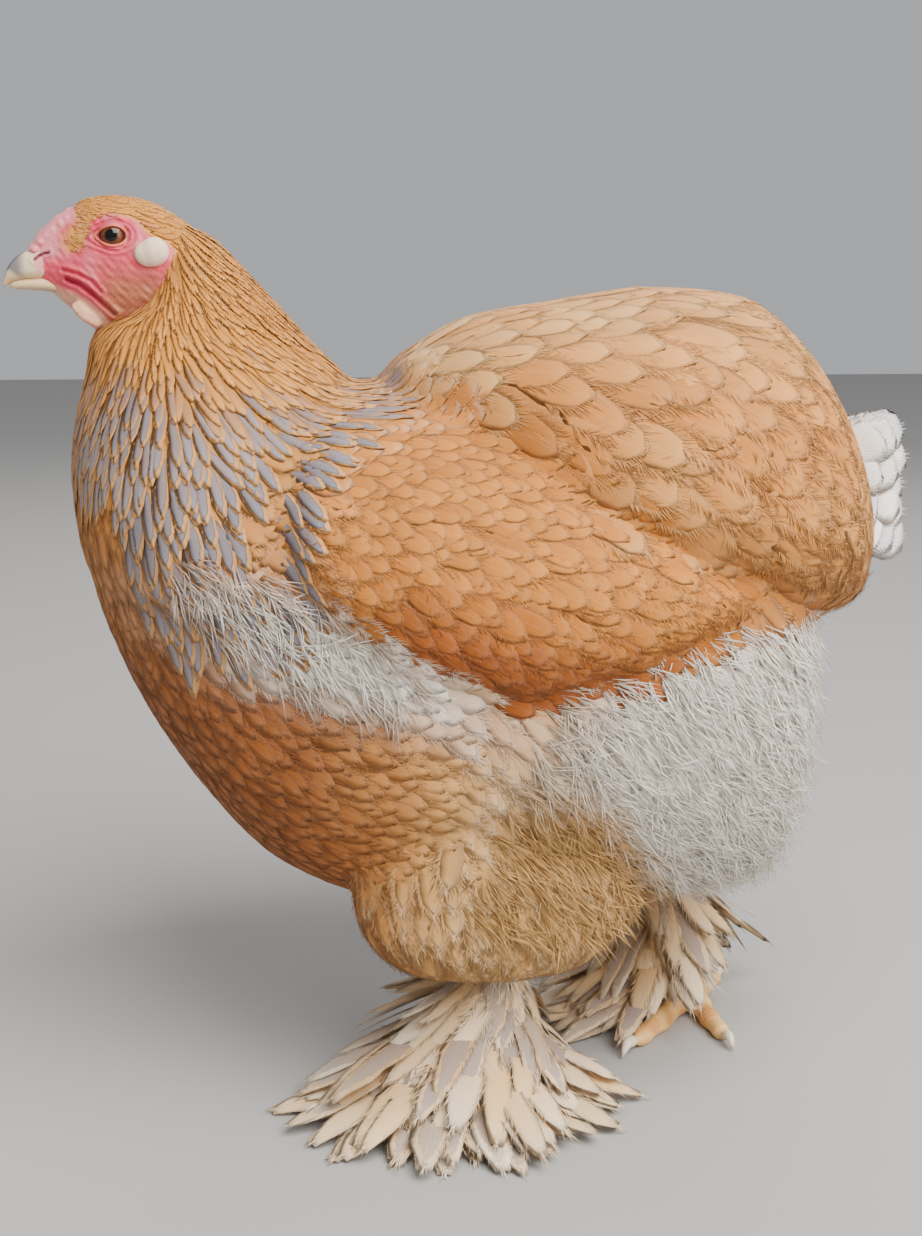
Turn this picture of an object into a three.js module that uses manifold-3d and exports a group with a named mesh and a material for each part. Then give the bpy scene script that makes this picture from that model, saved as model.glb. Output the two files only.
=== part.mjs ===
// A life-size standing brahma hen: buff, heavily feathered, with booted feet.
// Millimetres, +Z up. The bird faces -X, and its left side faces -Y.
import * as THREE from "three";
import { mergeVertices } from "three/addons/utils/BufferGeometryUtils.js";
import Module from "manifold-3d";

const wasm = await Module();
wasm.setup();

// Driving sizes
const GAP = 0.4;
const LEFT = -1;
const RIGHT = 1;
const VANE_LIFT = 6;

// Each row is a station along the bird, from the breast back: x, top, bottom, half width, height of the widest point.
const TORSO = [
  [-212, 322, 322, 0, 322],
  [-205, 356, 274, 46, 318],
  [-188, 374, 228, 78, 306],
  [-155, 384, 172, 104, 290],
  [-110, 386, 124, 122, 270],
  [-65, 382, 106, 131, 258],
  [-10, 382, 102, 135, 250],
  [50, 386, 102, 134, 243],
  [105, 384, 103, 125, 238],
  [145, 360, 110, 106, 232],
  [165, 318, 142, 74, 230],
  [178, 272, 200, 34, 234],
  [181, 236, 236, 0, 236],
];
const TORSO_SQUARE = 0.86;
const CUSHION = [
  [-54, 386, 386, 0, 386],
  [-42, 396, 366, 46, 382],
  [-6, 416, 326, 94, 362],
  [40, 424, 288, 124, 342],
  [90, 431, 266, 134, 326],
  [135, 427, 256, 130, 318],
  [169, 402, 252, 113, 312],
  [190, 366, 254, 86, 306],
  [202, 332, 264, 50, 300],
  [207, 300, 300, 0, 300],
];
const WING = [
  [-104, 326, 318, 2, 322],
  [-96, 350, 292, 10, 322],
  [-70, 370, 268, 15, 320],
  [-30, 374, 248, 18, 312],
  [10, 358, 240, 18, 298],
  [50, 330, 249, 15, 288],
  [85, 304, 262, 11, 282],
  [110, 288, 272, 7, 280],
  [122, 282, 278, 2, 280],
];
const HEAD = [
  [-230, 441, 441, 0, 441],
  [-226, 450, 433, 6.5, 440],
  [-219, 457, 425, 9.5, 440],
  [-210, 468.5, 417, 12.5, 441],
  [-199, 474, 407, 16, 444],
  [-187, 475, 400.5, 18.6, 446],
  [-172, 472.5, 399, 20, 444],
  [-157, 465, 399, 21, 439],
  [-143, 454, 402, 20, 432],
  [-132, 441, 410, 14, 426],
  [-127, 427, 427, 0, 427],
];
const UPPER_BILL = [
  [-217, 440, 440, 0, 440],
  [-220, 446.5, 433.7, 7.6, 438.5],
  [-227, 448.8, 433.1, 7.8, 438.5],
  [-233, 447.3, 432.9, 6.4, 438],
  [-238.3, 444.3, 432.3, 4.8, 437],
  [-242.6, 439.3, 430.8, 2.9, 434.5],
  [-245, 433, 429.3, 1.4, 431],
  [-245.6, 430, 430, 0, 430],
];
const LOWER_BILL = [
  [-212, 428.5, 428.5, 0, 428.5],
  [-215, 432.2, 424.6, 7.4, 428.8],
  [-224, 432.3, 427.2, 7, 430],
  [-233, 431.8, 427.6, 5.2, 430],
  [-240, 430.8, 428.2, 2.8, 429.6],
  [-243, 429.4, 429.4, 0, 429.4],
];

// Upright stations, from the top down: z, front x, back x, half width, middle y.
const CAPE = [
  [467, -158, -158, 0, 0],
  [462, -166, -150, 13, 0],
  [455, -168, -137, 19, 0],
  [446, -169, -128, 25, 0],
  [432, -172, -115, 33, 0],
  [420, -179, -104, 40, 0],
  [411, -197, -96, 46, 0],
  [402, -204, -88, 54, 0],
  [384, -207, -70, 71, 0],
  [362, -213, -54, 90, 0],
  [335, -216, -44, 108, 0],
  [305, -214, -42, 118, 0],
  [284, -208, -50, 119, 0],
  [270, -190, -74, 70, 0],
  [262, -130, -130, 0, 0],
];
const THIGHS = {
  [LEFT]: [
    [222, 0, 0, 0, -72],
    [208, -50, 46, 26, -74],
    [180, -68, 66, 38, -76],
    [148, -78, 77, 42, -76],
    [118, -75, 73, 40, -76],
    [96, -64, 60, 34, -75],
    [82, -46, 42, 22, -73],
    [75, -4, -4, 0, -71],
  ],
  [RIGHT]: [
    [222, 96, 96, 0, 68],
    [208, 62, 138, 26, 68],
    [180, 48, 156, 38, 70],
    [148, 44, 162, 41, 71],
    [120, 52, 157, 36, 70],
    [102, 70, 147, 28, 68],
    [91, 92, 132, 16, 65],
    [86, 114, 114, 0, 63],
  ],
};
// Hock, ankle and the heading of the middle toe, in degrees from -X towards the outer side.
const LEGS = {
  [LEFT]: { hock: [8, -66, 96], ankle: [-18, -52, 20], heading: 20, fan: [-8, 140] },
  [RIGHT]: { hock: [116, 64, 108], ankle: [134, 46, 20], heading: -52, fan: [24, 140] },
};
const TOES = [
  { name: "1", turn: 180, length: 34, thick: 5.2, claw: 12 },
  { name: "2", turn: -46, length: 50, thick: 5.8, claw: 13 },
  { name: "3", turn: 0, length: 70, thick: 6.6, claw: 15 },
  { name: "4", turn: 44, length: 56, thick: 5.8, claw: 13 },
];
const SHANK_RADIUS = 8.5;
const EYE = { x: -187.8, y: 12.2, z: 454.7, radius: 7.2 };
const LOBE = { x: -168.3, y: 20.5, z: 446.5, size: [8.2, 5.6, 7.4] };
const WATTLE = { x: -203, y: 10.6, z: 415, size: [10, 2.6, 4.6] };

const radians = THREE.MathUtils.degToRad;

// Smooth curve through the rows, without overshoot. The key runs from 0 to 1 over the rows.
function track(rows) {
  const last = rows.length - 1;
  const slopes = rows.map((row, i) =>
    row.map((value, c) => {
      if (i === 0) return rows[1][c] - value;
      if (i === last) return value - rows[last - 1][c];
      const before = value - rows[i - 1][c];
      const after = rows[i + 1][c] - value;
      return before * after <= 0 ? 0 : (2 * before * after) / (before + after);
    }),
  );
  return (key) => {
    const s = THREE.MathUtils.clamp(key, 0, 1) * last;
    const i = Math.min(Math.floor(s), last - 1);
    const f = s - i;
    const [h00, h10] = [(1 + 2 * f) * (1 - f) ** 2, f * (1 - f) ** 2];
    const [h01, h11] = [f * f * (3 - 2 * f), f * f * (f - 1)];
    return rows[i].map(
      (v, c) => h00 * v + h10 * slopes[i][c] + h01 * rows[i + 1][c] + h11 * slopes[i + 1][c],
    );
  };
}

// Surfaces: a point for t, from one end to the other, and an angle around. Angle 0 is the top or the back,
// and a quarter turn is the left side.
const rounded = (value, power) => Math.sign(value) * Math.abs(value) ** power;

function lengthwise(rows, power = 1) {
  const at = track(rows);
  return (t, angle) => {
    const [x, top, bottom, half, widest] = at(t);
    const up = rounded(Math.cos(angle), power);
    const z = up > 0 ? widest + (top - widest) * up : widest + (widest - bottom) * up;
    return new THREE.Vector3(x, -half * rounded(Math.sin(angle), power), z);
  };
}

function upright(rows) {
  const at = track(rows);
  return (t, angle) => {
    const [z, front, back, half, middle] = at(t);
    const x = (front + back) / 2 + ((back - front) / 2) * Math.cos(angle);
    return new THREE.Vector3(x, middle - half * Math.sin(angle), z);
  };
}

const torsoAt = track(TORSO);
function torsoHalf(x, z) {
  let [low, high] = [0, 1];
  for (let i = 0; i < 24; i++) {
    const mid = (low + high) / 2;
    if (torsoAt(mid)[0] < x) low = mid;
    else high = mid;
  }
  const [, top, bottom, half, widest] = torsoAt(low);
  const up = z > widest ? (z - widest) / (top - widest) : (widest - z) / (widest - bottom);
  const share = Math.max(0, 1 - Math.min(1, up) ** (2 / TORSO_SQUARE));
  return half * share ** (TORSO_SQUARE / 2);
}

const WING_DEPTH = 14;
function wingSurface(side) {
  const at = track(WING);
  return (t, angle) => {
    const [x, top, bottom, thick, middle] = at(t);
    const up = Math.cos(angle);
    const z = up > 0 ? middle + (top - middle) * up : middle + (middle - bottom) * up;
    const out = Math.sin(angle);
    const y = torsoHalf(x, z) + 1.5 + (out > 0 ? thick : Math.min(thick * 4, WING_DEPTH)) * out;
    return new THREE.Vector3(x, side * y, z);
  };
}

// Solids
function solid(geometry) {
  const bare = geometry.index ? geometry.toNonIndexed() : geometry.clone();
  bare.deleteAttribute("normal");
  bare.deleteAttribute("uv");
  const merged = mergeVertices(bare, 1e-3);
  const flipped = (order) =>
    new wasm.Manifold(
      new wasm.Mesh({
        numProp: 3,
        vertProperties: merged.attributes.position.array,
        triVerts: order,
      }),
    );
  const order = new Uint32Array(merged.index.array);
  const made = flipped(order);
  if (made.volume() > 0) return made;
  for (let i = 0; i < order.length; i += 3)
    [order[i + 1], order[i + 2]] = [order[i + 2], order[i + 1]];
  return flipped(order);
}

function moved(geometry, change) {
  const place = geometry.attributes.position;
  const point = new THREE.Vector3();
  for (let i = 0; i < place.count; i++) {
    const to = change(point.fromBufferAttribute(place, i));
    place.setXYZ(i, to.x, to.y, to.z);
  }
  return geometry;
}

const QUARTERS = [0, 0.5, 1, 1.5].map((quarter) => quarter * Math.PI);
function middleOf(surface, t) {
  const sum = new THREE.Vector3();
  for (const angle of QUARTERS) sum.add(surface(t, angle));
  return sum.divideScalar(QUARTERS.length);
}

// A closed body around a surface, pushed out by grow.
function loft(surface, rings, sides, grow = 0) {
  const bent = moved(new THREE.SphereGeometry(1, sides, rings), (p) => {
    const t = Math.acos(THREE.MathUtils.clamp(p.y, -1, 1)) / Math.PI;
    if (Math.abs(p.y) > 0.99999) {
      const end = middleOf(surface, t);
      const outward = end.clone().sub(middleOf(surface, t < 0.5 ? 0.04 : 0.96)).normalize();
      return end.addScaledVector(outward, grow);
    }
    const spot = spotOn(surface, t, Math.atan2(p.z, p.x));
    return spot.point.addScaledVector(spot.normal, grow);
  });
  return solid(bent);
}

function ellipsoid(centre, size, grow = 0, turn = [0, 0, 0], detail = 12) {
  const ball = new THREE.SphereGeometry(1, detail, Math.round(detail * 0.7));
  ball.scale(...size.map((s) => s + grow));
  ball.rotateX(radians(turn[0])).rotateY(radians(turn[1])).rotateZ(radians(turn[2]));
  ball.translate(...centre);
  return solid(ball);
}

const unite = (pieces) => pieces.reduce((all, piece) => all.add(piece));
const cutBy = (body, ...tools) => tools.reduce((left, tool) => left.subtract(tool), body);
const largest = (body) => body.decompose().sort((a, b) => b.volume() - a.volume())[0];

// Point, outward normal and both slopes of a surface.
function spotOn(surface, t, angle) {
  const step = 1e-3;
  const t0 = THREE.MathUtils.clamp(t, 0.004, 0.996);
  const point = surface(t, angle);
  const along = surface(t0 + step, angle).sub(surface(t0 - step, angle)).divideScalar(2 * step);
  const round = surface(t0, angle + step).sub(surface(t0, angle - step)).divideScalar(2 * step);
  const normal = along.clone().cross(round).normalize();
  const middle = surface(t0, angle).add(surface(t0, angle + Math.PI)).multiplyScalar(0.5);
  if (normal.dot(surface(t0, angle).sub(middle)) < 0) normal.negate();
  return { point, normal, along, round };
}

// The change of t and angle that moves a spot by a vector lying in the surface.
function slide(spot, vector) {
  const [a, b, c] = [
    spot.along.dot(spot.along),
    spot.along.dot(spot.round),
    spot.round.dot(spot.round),
  ];
  const [p, q] = [spot.along.dot(vector), spot.round.dot(vector)];
  const scale = 1 / Math.max(a * c - b * b, 1e-6);
  return [(c * p - b * q) * scale, (a * q - b * p) * scale];
}

// A thin closed body between two like grids of points, split alike on both faces.
function sheetSolid(top, bottom) {
  const corners = [];
  const face = (...points) => points.forEach((p) => corners.push(p.x, p.y, p.z));
  const [rows, columns] = [top.length - 1, top[0].length - 1];
  for (let i = 0; i < rows; i++) {
    for (let j = 0; j < columns; j++) {
      face(top[i][j], top[i][j + 1], top[i + 1][j + 1]);
      face(top[i][j], top[i + 1][j + 1], top[i + 1][j]);
      face(bottom[i][j], bottom[i + 1][j + 1], bottom[i][j + 1]);
      face(bottom[i][j], bottom[i + 1][j], bottom[i + 1][j + 1]);
    }
    for (const j of [0, columns]) {
      const [a, b, c, d] = [top[i][j], top[i + 1][j], bottom[i + 1][j], bottom[i][j]];
      if (j === 0) {
        face(a, b, c);
        face(a, c, d);
      } else {
        face(a, c, b);
        face(a, d, c);
      }
    }
  }
  for (const i of [0, rows]) {
    for (let j = 0; j < columns; j++) {
      const [a, b, c, d] = [top[i][j], top[i][j + 1], bottom[i][j + 1], bottom[i][j]];
      if (i === 0) {
        face(a, c, b);
        face(a, d, c);
      } else {
        face(a, b, c);
        face(a, c, d);
      }
    }
  }
  const geometry = new THREE.BufferGeometry();
  geometry.setAttribute("position", new THREE.Float32BufferAttribute(corners, 3));
  return solid(geometry);
}

// Vane outlines are half widths from root to tip. A crowned vane is three points wide, a flat one two.
const BROAD = [0.2, 0.68, 1, 0.44];
const LONG = [0.25, 0.74, 1, 0.42];
const FAN = [0.28, 0.8, 1, 0.56];
const LANCE = [0.2, 0.74, 1, 0.2];
const EDGE_THICK = 0.9;
const CROWN = 0.14;
function vaneSolid(rows, crowned, thick) {
  const places = crowned ? [-1, 0, 1] : [-1, 1];
  const grid = (face) =>
    rows.map(({ point, side, up, half }) =>
      places.map((across) => {
        const deep = across ? EDGE_THICK : thick;
        const sunk = crowned && across ? half * CROWN : 0;
        return point
          .clone()
          .addScaledVector(side, across * half)
          .addScaledVector(up, (face * deep) / 2 - sunk);
      }),
    );
  return sheetSolid(grid(1), grid(-1));
}

// A feather that lies on a surface: it starts below it, follows a heading and ends lift above it.
function feather(surface, t, angle, heading, size) {
  const { length, half, outline = BROAD, sink = 3, lift = 4, thick = 1.2, crowned = false } = size;
  const steps = outline.length - 1;
  const rows = [];
  for (let i = 0; i <= steps; i++) {
    const spot = spotOn(surface, t, angle);
    const way = heading.clone().addScaledVector(spot.normal, -heading.dot(spot.normal)).normalize();
    const height = THREE.MathUtils.lerp(-sink, lift, (i / steps) ** 0.8);
    rows.push({
      point: spot.point.clone().addScaledVector(spot.normal, height),
      side: way.clone().cross(spot.normal).normalize(),
      up: spot.normal.clone(),
      half: half * outline[i],
    });
    const [dt, da] = slide(spot, way.multiplyScalar(length / steps));
    t = THREE.MathUtils.clamp(t + dt, 0.01, 0.99);
    angle += da;
  }
  return vaneSolid(rows, crowned, thick);
}

// A free feather along a bent line from a root, past a middle, to a tip.
function plume(root, bend, tip, up, half, outline, thick = 1.3) {
  const line = new THREE.QuadraticBezierCurve3(root, bend, tip);
  const steps = outline.length - 1;
  const rows = outline.map((width, i) => {
    const way = line.getTangent(i / steps);
    const side = way.clone().cross(up).normalize();
    return {
      point: line.getPoint(i / steps),
      side,
      up: side.clone().cross(way).normalize(),
      half: half * width,
    };
  });
  return vaneSolid(rows, false, thick);
}

// Even random numbers from 0 to 1 that come out the same each time.
let seed = 20417;
function chance() {
  seed = (seed + 0x6d2b79f5) | 0;
  let mixed = Math.imul(seed ^ (seed >>> 15), 1 | seed);
  mixed = (mixed + Math.imul(mixed ^ (mixed >>> 7), 61 | mixed)) ^ mixed;
  return ((mixed ^ (mixed >>> 14)) >>> 0) / 4294967296;
}
const about = (value, share) => value * (1 + (chance() * 2 - 1) * share);

// Where along its rows a surface has a given first value.
function keyOf(rows, value) {
  const at = track(rows);
  const rising = rows[rows.length - 1][0] > rows[0][0];
  let [low, high] = [0, 1];
  for (let i = 0; i < 24; i++) {
    const mid = (low + high) / 2;
    if (at(mid)[0] < value === rising) low = mid;
    else high = mid;
  }
  return low;
}

// Tiers of feathers: each tier has a station, angles from and to in degrees, a count and a size.
// Neighbours lie at two levels, so that the one slides over the other.
const LEVEL_STEP = 1.2;
function tract(surface, rows, tiers, heading, mirrored) {
  const made = [];
  tiers.forEach(({ at, from, to, count, length, half, lift = 3.4, ...rest }, tier) => {
    const key = keyOf(rows, at);
    for (const side of mirrored ? [1, -1] : [1]) {
      for (let i = 0; i < count; i++) {
        const share = count === 1 ? 0.5 : i / (count - 1);
        const spacing = count === 1 ? 0 : (to - from) / (count - 1);
        const degrees = side * (THREE.MathUtils.lerp(from, to, share) + (chance() - 0.5) * spacing * 0.3);
        const t = key + (chance() - 0.5) * 0.012;
        const way = heading(radians(degrees), share).normalize();
        const level = lift + ((i + tier) % 2) * LEVEL_STEP;
        const size = { ...rest, length: about(length, 0.08), half: about(half, 0.07), lift: level };
        made.push(feather(surface, t, radians(degrees), way, size));
      }
    }
  });
  return made;
}

// Body
const torsoSurface = lengthwise(TORSO, TORSO_SQUARE);
const cushionSurface = lengthwise(CUSHION);
const capeSurface = upright(CAPE);
const headSurface = lengthwise(HEAD);

const torso = (grow = 0) => loft(torsoSurface, 16, 18, grow);
const cushionCore = (grow = 0) => loft(cushionSurface, 12, 18, grow);
const capeCore = (grow = 0) => loft(capeSurface, 12, 18, grow);
const wingCore = (side, grow = 0) => loft(wingSurface(side), 9, 12, grow);
const thigh = (side, grow = 0) => loft(upright(THIGHS[side]), 9, 12, grow);

// The abdomen's fluff is the part of the torso behind and below a corner under the wing.
const FLUFF_CORNER = { x: -46, z: 250, tilt: 12.7 };
function fluffBlock(grow = 0) {
  const size = 600;
  const block = new THREE.BoxGeometry(size, size, size);
  block.translate(size / 2 - grow, 0, -size / 2 + grow);
  block.rotateY(radians(-FLUFF_CORNER.tilt));
  block.translate(FLUFF_CORNER.x, 0, FLUFF_CORNER.z);
  return solid(block);
}

// Hackle: narrow feathers that run down and back from the nape, and leave the front free.
const HACKLE_TIERS = [
  { at: 446, from: 24, to: 108, count: 2, length: 44, half: 12 },
  { at: 416, from: 30, to: 132, count: 2, length: 52, half: 15 },
  { at: 388, from: 48, to: 146, count: 3, length: 54, half: 15 },
  { at: 358, from: 64, to: 148, count: 3, length: 56, half: 17 },
  { at: 328, from: 92, to: 148, count: 2, length: 46, half: 19 },
].map((tier) => ({ ...tier, outline: LANCE, thick: 1 }));
const hackleWay = (angle) => new THREE.Vector3(0.3 + 0.25 * Math.cos(angle), 0, -1);
const hackle = () => tract(capeSurface, CAPE, HACKLE_TIERS, hackleWay, true);

// Cushion: broad rounded feathers that sweep back over the saddle and down its sides.
const CUSHION_TIERS = [
  { at: -16, from: 20, to: 74, count: 2, length: 60, half: 23 },
  { at: 36, from: 18, to: 96, count: 3, length: 64, half: 26 },
  { at: 88, from: 28, to: 108, count: 3, length: 64, half: 28 },
  { at: 136, from: 34, to: 106, count: 2, length: 58, half: 29 },
];
const cushionWay = (angle) => new THREE.Vector3(1, 0, -0.35 - 0.5 * Math.sin(Math.abs(angle)) ** 2);
const cushionFeathers = () => tract(cushionSurface, CUSHION, CUSHION_TIERS, cushionWay, true);

// Wing: short coverts in front, then the long quills that close over each other towards the tip.
const COVERT_TIERS = [
  { at: -88, from: 52, to: 122, count: 2, length: 44, half: 18 },
  { at: -56, from: 36, to: 138, count: 3, length: 48, half: 19 },
  { at: -20, from: 36, to: 138, count: 3, length: 52, half: 19 },
].map((tier) => ({ ...tier, lift: 3, sink: 2.4 }));
const QUILL_TIERS = [
  { at: 12, from: 44, to: 130, count: 4, length: 88, half: 14.5, outline: LONG, lift: 3.4 },
  { at: 60, from: 84, to: 84, count: 1, length: 58, half: 12, outline: LONG, lift: 2.6 },
].map((tier) => ({ ...tier, sink: 2 }));
const covertWay = (angle) => new THREE.Vector3(1, 0, -0.28 + 0.3 * Math.cos(angle));
const quillWay = () => new THREE.Vector3(1, 0, -0.3);
const wingFeathers = (side) => [
  ...tract(wingSurface(side), WING, COVERT_TIERS, covertWay, false),
  ...tract(wingSurface(side), WING, QUILL_TIERS, quillWay, false),
];

// Thigh: soft feathers that hang down the outer side.
const THIGH_TIERS = [
  { at: 164, from: 56, to: 124, count: 2, length: 50, half: 22 },
  { at: 132, from: 40, to: 140, count: 3, length: 46, half: 22 },
];
function thighFeathers(side) {
  const tiers = THIGH_TIERS.map((tier) => ({ ...tier, from: -side * tier.from, to: -side * tier.to }));
  return tract(upright(THIGHS[side]), THIGHS[side], tiers, () => new THREE.Vector3(0.1, 0, -1), false);
}

// Tail: a tent of broad feathers down each side of a flat core, and the room it takes in the cushion.
const TAIL_CORE = [
  [146, 322, 322, 0, 322],
  [153, 348, 296, 18, 322],
  [176, 358, 286, 26, 321],
  [196, 355, 288, 23, 321],
  [208, 342, 300, 14, 321],
  [213, 321, 321, 0, 321],
];
const TAIL_ROOM = [
  [145, 322, 322, 0, 322],
  [151, 351, 293, 21, 322],
  [176, 364, 280, 31, 321],
  [204, 380, 264, 35, 321],
  [238, 384, 258, 37, 321],
  [252, 322, 322, 0, 322],
];
const TAIL_COUNT = 4;
function tailFeathers(side) {
  const up = new THREE.Vector3(0, side, 0.45).normalize();
  return Array.from({ length: TAIL_COUNT }, (_, i) => {
    const share = i / (TAIL_COUNT - 1);
    const out = side * (3 + 15 * share);
    const rise = THREE.MathUtils.lerp(20, -15, share);
    const root = new THREE.Vector3(188, out * 0.7, THREE.MathUtils.lerp(334, 308, share));
    const bend = new THREE.Vector3(210, out, root.z + rise * 0.7);
    const tip = new THREE.Vector3(about(231 - 6 * Math.abs(share - 0.45), 0.008), out, root.z + rise);
    return plume(root, bend, tip, up, about(16.5, 0.05), LONG, 1.5);
  });
}
const tailRoom = () => loft(lengthwise(TAIL_ROOM), 6, 9);
const tail = () => unite([loft(lengthwise(TAIL_CORE), 6, 9), ...tailFeathers(LEFT), ...tailFeathers(RIGHT)]);

// Head
const headCore = (grow = 0) => loft(headSurface, 16, 18, grow);
const eye = (side, grow = 0) =>
  ellipsoid([EYE.x, side * EYE.y, EYE.z], [EYE.radius, EYE.radius, EYE.radius], grow, [0, 0, 0], 10);

function lids(side) {
  const ring = new THREE.TorusGeometry(EYE.radius, 1.6, 4, 12);
  ring.scale(1.06, 0.84, 1).rotateX(radians(90)).rotateY(radians(6));
  ring.translate(EYE.x, side * (EYE.y + 4.6), EYE.z);
  return solid(ring);
}

// The line of the mouth runs level along the bill and then drops across the cheek.
const MOUTH = [
  [-224, 8.4, 432.8],
  [-212, 11, 433.4],
  [-206, 12, 430.8],
  [-198, 13.2, 424.8],
  [-190, 13, 418],
];
function mouthGroove(side) {
  const line = new THREE.CatmullRomCurve3(MOUTH.map(([x, y, z]) => new THREE.Vector3(x, side * y, z)));
  const [wide, deep] = [0.8, 2.8];
  const cut = new THREE.Shape([
    new THREE.Vector2(-wide, -deep),
    new THREE.Vector2(wide, -deep),
    new THREE.Vector2(wide, deep),
    new THREE.Vector2(-wide, deep),
  ]);
  return solid(new THREE.ExtrudeGeometry(cut, { extrudePath: line, steps: 6, bevelEnabled: false }));
}

const lobe = (side, grow = 0) =>
  ellipsoid([LOBE.x, side * LOBE.y, LOBE.z], LOBE.size, grow, [0, 0, 0], 10);
const wattle = (side, grow = 0) =>
  ellipsoid([WATTLE.x, side * WATTLE.y, WATTLE.z], WATTLE.size, grow, [side * 8, 40, side * -6], 8);
const upperBill = (grow = 0) => loft(lengthwise(UPPER_BILL, 0.9), 10, 10, grow);
const lowerBill = (grow = 0) => loft(lengthwise(LOWER_BILL, 0.9), 8, 10, grow);

function nostril(side) {
  return ellipsoid([-224.6, side * 7.4, 445.4], [4.6, 2, 1.2], 0, [0, -25, 0], 8);
}

// A pea comb: a low pad down the forehead, with a middle row of beads and a lower row on each side.
const COMB = { front: [-229.5, 448.5], back: [-210.5, 466], tilt: -43 };
function comb(grow = 0) {
  const pieces = [ellipsoid([-219, 0, 456.5], [14.5, 6.8, 4.2], grow, [0, COMB.tilt, 0], 6)];
  for (let row = -1; row <= 1; row++) {
    const count = row ? 3 : 4;
    for (let i = 0; i < count; i++) {
      const share = (i + (row ? 0.5 : 0)) / 3;
      const x = THREE.MathUtils.lerp(COMB.front[0], COMB.back[0], share);
      const rise = 1.6 * Math.sin(Math.PI * Math.min(1, share)) - (row ? 2.2 : 0);
      const z = THREE.MathUtils.lerp(COMB.front[1], COMB.back[1], share) + rise;
      const radius = row ? 2.9 : 3.4;
      pieces.push(ellipsoid([x, row * 4.7, z], [radius * 1.2, radius, radius], grow, [0, COMB.tilt, 0], 6));
    }
  }
  return unite(pieces);
}

// Legs
const vector = (p) => new THREE.Vector3(...p);

function tube(points, radii, sides, rings, grow = 0) {
  const line = new THREE.CatmullRomCurve3(points.map(vector));
  const radius = track(radii.map((r) => [r]));
  const surface = (t, angle) => {
    const way = line.getTangent(t);
    const side = way.clone().cross(new THREE.Vector3(0.01, 0.02, 1)).normalize();
    const up = side.clone().cross(way);
    const r = radius(t)[0];
    return line
      .getPoint(t)
      .addScaledVector(side, r * Math.sin(angle))
      .addScaledVector(up, r * Math.cos(angle));
  };
  return loft(surface, rings, sides, grow);
}

function shank(side, grow = 0) {
  const { hock, ankle } = LEGS[side];
  const mid = hock.map((v, i) => (v + ankle[i]) / 2);
  const r = SHANK_RADIUS;
  return tube([hock, mid, ankle], [0, r * 1.2, r * 1.1, r, r, r * 1.1, 0], 8, 7, grow);
}

function toeWay(side, toe) {
  const turn = radians(LEGS[side].heading + toe.turn);
  return new THREE.Vector3(-Math.cos(turn), side * Math.sin(turn), 0);
}

// A toe comes down from the ankle, runs along the floor on its pads and ends at the claw.
function toePoints(side, toe) {
  const way = toeWay(side, toe);
  const ankle = vector(LEGS[side].ankle);
  const start = ankle.clone().setZ(14);
  const level = toe.thick - 1.2;
  const knuckle = start.clone().addScaledVector(way, 16).setZ(level + 3);
  const middle = start.clone().addScaledVector(way, 10 + toe.length * 0.5).setZ(level);
  const end = start.clone().addScaledVector(way, 8 + toe.length).setZ(level);
  return [start, knuckle, middle, end];
}

function toeBody(side, toe, grow = 0) {
  const points = toePoints(side, toe).map((p) => p.toArray());
  const r = toe.thick;
  return tube(points, [0, r * 1.1, r, r * 1.12, r * 0.92, r * 1.04, r * 0.8, r * 0.86, 0], 6, 8, grow);
}

function claw(side, toe, grow = 0) {
  const way = toeWay(side, toe);
  const end = toePoints(side, toe)[3];
  const base = end.clone().addScaledVector(way, -4).setZ(end.z + 0.6);
  const rise = base.clone().addScaledVector(way, toe.claw * 0.6).setZ(end.z + 2.4);
  const tip = base.clone().addScaledVector(way, toe.claw + 2).setZ(1.4);
  const r = toe.thick * 0.5;
  return tube([base, rise, tip].map((p) => p.toArray()), [0, r, r * 0.9, r * 0.6, 0], 6, 5, grow);
}

function foot(side, grow = 0) {
  const ankle = LEGS[side].ankle;
  const joint = ellipsoid([ankle[0], ankle[1], 13], [13, 12, 13.5], grow, [0, 0, 0], 10);
  return unite([joint, ...TOES.map((toe) => toeBody(side, toe, grow))]);
}

// Boot: tiers of long feathers that fall from the shank and fan out over the toes on the outer side.
const BOOT_TIERS = [
  { rise: 72, root: 4, reach: 48, bend: 60, drop: 30, half: 15, count: 3, wider: 50 },
  { rise: 48, root: 10, reach: 76, bend: 40, drop: 15, half: 16, count: 4, wider: 20 },
  { rise: 28, root: 17, reach: 98, bend: 24, drop: 5, half: 18, count: 4, wider: -6 },
];
const COLLAR = [
  [66, 0, 0],
  [60, 0, 10],
  [44, 2, 14],
  [32, 4, 19],
  [22, 5, 23],
  [17, 5, 0],
];
function alongShank(side, height) {
  const { hock, ankle } = LEGS[side];
  const share = (height - ankle[2]) / (hock[2] - ankle[2]);
  return vector(ankle).lerp(vector(hock), share).setZ(height);
}

function bootCollar(side) {
  const turn = radians(LEGS[side].heading + 60);
  const rows = COLLAR.map(([height, out, radius]) => {
    const centre = alongShank(side, height);
    const x = centre.x - Math.cos(turn) * out;
    return [height, x - radius, x + radius, radius, centre.y + side * Math.sin(turn) * out];
  });
  return loft(upright(rows), 6, 10);
}

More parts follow.
